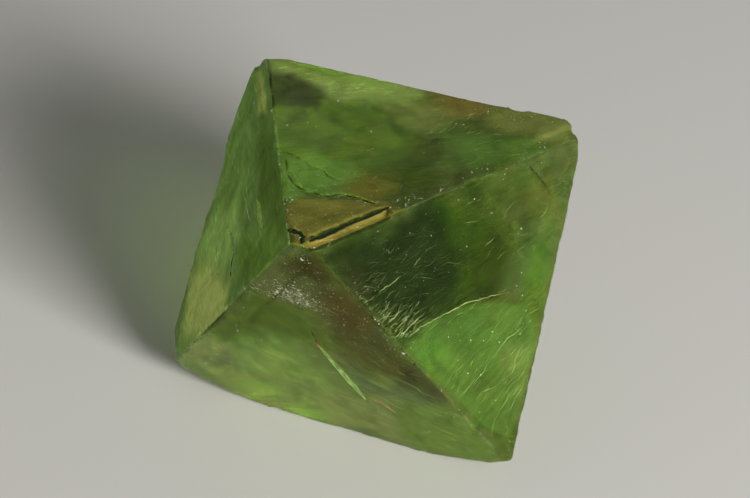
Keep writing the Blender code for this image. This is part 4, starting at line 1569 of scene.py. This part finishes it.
class FLUORITE_OT_film(Operator):
    """The thin film over the skin: milky on worn parts, painted light and painted shade on others"""
    bl_idname = "fluorite.film"
    bl_label = "Make the Film of Wear, Light and Shade"

    def execute(self, context):
        settings = context.scene.fluorite_detail
        mesh = finished_skin()
        color, cover, owner = film_on_skin(Skin(mesh))
        material = film_material()
        for number, name in enumerate(FILM_PIECES):
            lay_film(name, mesh, owner == number, color, cover, settings, material)
        return {'FINISHED'}


# Larger crushed crumbs: the face, place in mm and size in mm.
BIG_CRUMBS = (
    ("top", -14.2, -0.3, 0.45), ("top", -6.0, 3.9, 0.3), ("top", -0.3, -0.1, 0.3),
    ("top", -11.9, -0.5, 0.26), ("top", -9.1, -2.7, 0.22), ("top", 4.0, -17.3, 0.42),
    ("top", 0.9, -21.2, 0.4), ("top", 1.6, -21.8, 0.34), ("top", 2.6, -21.6, 0.3),
    ("top", 8.4, -11.2, 0.18), ("top", 9.6, -9.6, 0.15), ("lower_front", 1.6, 20.6, 0.4),
    ("lower_front", 11.3, 8.0, 0.42), ("right_front", 2.3, -7.2, 0.18), ("right_front", -1.2, -5.6, 0.16),
    ("left_front", 10.2, 6.0, 0.3), ("left_front", -12.5, 7.5, 0.44),
)

# Ridges and cracks strewn with crumbs: the face, how many, and corners in mm.
CRUMB_LINES = (
    ("top", 80, ((2.2, -22.4), (11.0, -5.7), (15.7, 2.6), (19.5, 7.6))),
    ("top", 110, ((1.2, -22.4), (-3.3, -15.6), (-11.2, -2.6), (-16.9, 7.6))),
    ("top", 30, ((-1.5, -21.0), (1.0, -22.0), (3.5, -20.8), (6.5, -14.0), (9.5, -9.5))),
    ("top", 60, ((-3.9, -12.5), (-1.3, -13.3), (1.5, -12.4), (6.3, -12.4), (11.0, -6.5))),
    ("top", 30, ((8.0, 8.6), (17.8, 9.4))),
    ("lower_front", 80, ((1.6, 22.0), (4.4, 16.6), (11.8, 8.0))),
    ("lower_front", 60, ((1.6, 22.0), (-6.0, 8.5), (-15.0, -7.0))),
    ("right_front", 44, ((-17.6, 8.8), (-12.6, 1.2), (-9.6, -3.4))),
    ("left_front", 110, ((16.0, 11.5), (20.0, 8.0), (14.5, -5.0))),
)

# Patches strewn with fine dust: the face, how many, and corners in mm.
CRUMB_FIELDS = (
    ("lower_front", 260, ((1.6, 22.0), (-7.0, 11.0), (3.0, 10.0), (8.0, 5.0), (11.8, 8.0), (4.4, 16.6))),
    ("right_front", 110, ((-17.0, 8.5), (-12.0, 9.0), (-3.0, 8.5), (-2.0, 1.0), (-9.0, -3.0))),
    ("top", 180, ((1.5, -23.0), (-7.0, -9.0), (0.0, -7.0), (9.0, -8.0))),
    ("left_front", 160, ((17.5, 11.0), (5.0, -3.0), (0.0, 4.0), (4.0, 9.0), (10.0, 11.5))),
)

# Patches of small frosted flakes: the face, how many, the largest size in mm, and corners in mm.
FLAKE_PATCHES = (
    ("lower_front", 360, 0.34, ((-6.5, 12.2), (-4.0, 14.2), (-0.5, 17.0), (2.0, 15.4), (2.2, 12.0),
        (-2.0, 11.3))),
    ("lower_front", 520, 0.42, ((-3.2, 12.4), (-2.2, 14.2), (0.2, 14.6), (1.4, 12.3), (-0.4, 11.9))),
    ("lower_front", 70, 0.3, ((-8.0, 11.6), (-6.8, 12.8), (-5.4, 12.4), (-6.2, 11.2))),
    ("lower_front", 120, 0.24, ((1.6, 22.0), (4.4, 16.6), (11.5, 8.0), (10.2, 7.4), (3.0, 13.0))),
    ("right_front", 80, 0.16, ((-12.0, -1.4), (-9.5, 4.4), (-5.0, 4.6), (-8.0, -2.6))),
    ("top", 80, 0.26, ((1.8, -23.0), (8.8, -9.5), (8.0, -9.0), (1.4, -20.0))),
    ("top", 60, 0.2, ((-13.8, 0.5), (-11.5, -3.5), (-3.8, -16.0), (-2.6, -15.0), (-9.0, -3.0))),
    ("left_front", 90, 0.22, ((-2.0, 2.0), (2.0, 8.0), (16.0, 9.0), (10.0, -4.0))),
)


CHIP_TILT = 0.25            # how far a chip leans, in radians
CRUMB_SPREAD = 0.35         # how far crumbs lie from the ridge or crack that they belong to, in mm
SIDE_REACH = 22.0           # how far the faces reach from the heart, in mm


LEAST_CRUMB = 0.06          # in mm
CRUMB_STEP = 0.05           # between the places along a ridge or crack, in mm
CHIP_STRETCH = (0.8, 1.6)   # how long a chip is, as a share of its size
CHIP_CORNERS = (0.55, 1.3)  # how far out its corners lie


def crumb_size(most, power, rng):
    """A crumb's size in mm: many are small and few are large."""
    return LEAST_CRUMB + most * rng.random() ** power


def crumb_spots(count, rng):
    """Face, place and size in mm of all crumbs: the larger ones, then those strewn at random."""
    spots = list(BIG_CRUMBS)
    names = [name for name in FACES if name != "resting"]
    for _ in range(count):
        spots.append((rng.choice(names), rng.uniform(-SIDE_REACH, SIDE_REACH),
                      rng.uniform(-SIDE_REACH, SIDE_REACH), crumb_size(0.10, 3, rng)))
    for face, count_here, corners in CRUMB_LINES:
        line = resampled(corners, CRUMB_STEP, rng, 0.0)
        for _ in range(count_here):
            right, up = rng.choice(line)
            spots.append((face, right + rng.gauss(0.0, CRUMB_SPREAD), up + rng.gauss(0.0, CRUMB_SPREAD),
                          crumb_size(0.14, 4, rng)))
    for face, count_here, corners in CRUMB_FIELDS:
        for _ in range(count_here):
            spots.append((face, *random_in_patch(corners, rng), crumb_size(0.10, 3, rng)))
    return spots


def add_chip(bm, place, normal, size_mm, flatness, rng):
    """An angular chip lying on a face."""
    spin = Matrix.Rotation(rng.uniform(0.0, math.tau), 4, normal)
    lie = normal.to_track_quat('Z', 'Y').to_matrix().to_4x4()
    tilt = Matrix.Rotation(rng.gauss(0.0, CHIP_TILT), 4, 'X')
    size = size_mm * MM
    stretch = Matrix.Diagonal((size * rng.uniform(*CHIP_STRETCH), size, size * flatness, 1.0))
    grown = bmesh.ops.create_icosphere(bm, subdivisions=1, radius=0.5,
                                       matrix=Matrix.Translation(place) @ spin @ lie @ tilt @ stretch)
    for vertex in grown["verts"]:
        vertex.co = place + (vertex.co - place) * rng.uniform(*CHIP_CORNERS)


CRUMB_FORM = (0.1, 0.5)     # a crumb's depth in the skin and its height, as shares of its size
FLAKE_FORM = (0.15, 0.35)   # and a flake's
LEAST_FLAKE = 0.25          # the smallest flake, as a share of the largest
FLAKE_POWER = 2.5           # the higher, the fewer large flakes


class FLUORITE_OT_crumbs(Operator):
    """White crumbs and dust of crushed stone"""
    bl_idname = "fluorite.crumbs"
    bl_label = "Make the Crumbs"

    def execute(self, context):
        settings = context.scene.fluorite_detail
        ground = Ground(finished_skin())
        rng = random.Random(settings.seed + 2)
        sunk, flatness = CRUMB_FORM
        bm = bmesh.new()
        for face, right, up, size in crumb_spots(settings.crumbs, rng):
            place = ground.place(face, right, up, sunk * size)
            if place is not None:
                add_chip(bm, place, FACES[face].normal, size, flatness, rng)
        finish_mesh(bm, "white_crumbs", mottled_material("white_crumb", settings.crumb_color, 0.1, 0.5, 0.3))
        return {'FINISHED'}


class FLUORITE_OT_flakes(Operator):
    """Frosted flakes where the stone is crushed"""
    bl_idname = "fluorite.flakes"
    bl_label = "Make the Frosted Flakes"

    def execute(self, context):
        settings = context.scene.fluorite_detail
        ground = Ground(finished_skin())
        rng = random.Random(settings.seed + 3)
        sunk, flatness = FLAKE_FORM
        bm = bmesh.new()
        for face, count, largest, corners in FLAKE_PATCHES:
            for _ in range(count):
                right, up = random_in_patch(corners, rng)
                size = largest * (LEAST_FLAKE + (1.0 - LEAST_FLAKE) * rng.random() ** FLAKE_POWER)
                place = ground.place(face, right, up, sunk * size)
                if place is not None:
                    add_chip(bm, place, FACES[face].normal, size, flatness, rng)
        finish_mesh(bm, "frosted_flakes", mottled_material("frosted_flake", settings.wisp_color, 0.2, 0.7))
        return {'FINISHED'}


class FLUORITE_PT_panel(Panel):
    """The pieces of the fluorite octahedron"""
    bl_idname = "FLUORITE_PT_panel"
    bl_label = "Fluorite Octahedron"
    bl_space_type = 'VIEW_3D'
    bl_region_type = 'UI'
    bl_category = "Fluorite"

    def draw(self, context):
        for operator in OPERATORS:
            self.layout.operator(operator.bl_idname)


OPERATORS = (FLUORITE_OT_stage, FLUORITE_OT_stone, FLUORITE_OT_pale_lines, FLUORITE_OT_dark_cracks,
             FLUORITE_OT_slivers, FLUORITE_OT_wisps, FLUORITE_OT_film, FLUORITE_OT_crumbs,
             FLUORITE_OT_flakes)
SETTINGS = {"fluorite_stage": StageSettings, "fluorite_stone": StoneSettings,
            "fluorite_detail": DetailSettings}


def register():
    for settings in SETTINGS.values():
        bpy.utils.register_class(settings)
    for operator in OPERATORS:
        bpy.utils.register_class(operator)
    bpy.utils.register_class(FLUORITE_PT_panel)
    for name, settings in SETTINGS.items():
        setattr(bpy.types.Scene, name, PointerProperty(type=settings))


def unregister():
    for name in SETTINGS:
        delattr(bpy.types.Scene, name)
    bpy.utils.unregister_class(FLUORITE_PT_panel)
    for operator in reversed(OPERATORS):
        bpy.utils.unregister_class(operator)
    for settings in SETTINGS.values():
        bpy.utils.unregister_class(settings)


def main():
    register()
    bpy.ops.fluorite.stage()
    bpy.ops.fluorite.stone()
    bpy.ops.fluorite.pale_lines()
    bpy.ops.fluorite.dark_cracks()
    bpy.ops.fluorite.slivers()
    bpy.ops.fluorite.wisps()
    bpy.ops.fluorite.film()
    bpy.ops.fluorite.crumbs()
    bpy.ops.fluorite.flakes()


if __name__ == "__main__":
    main()
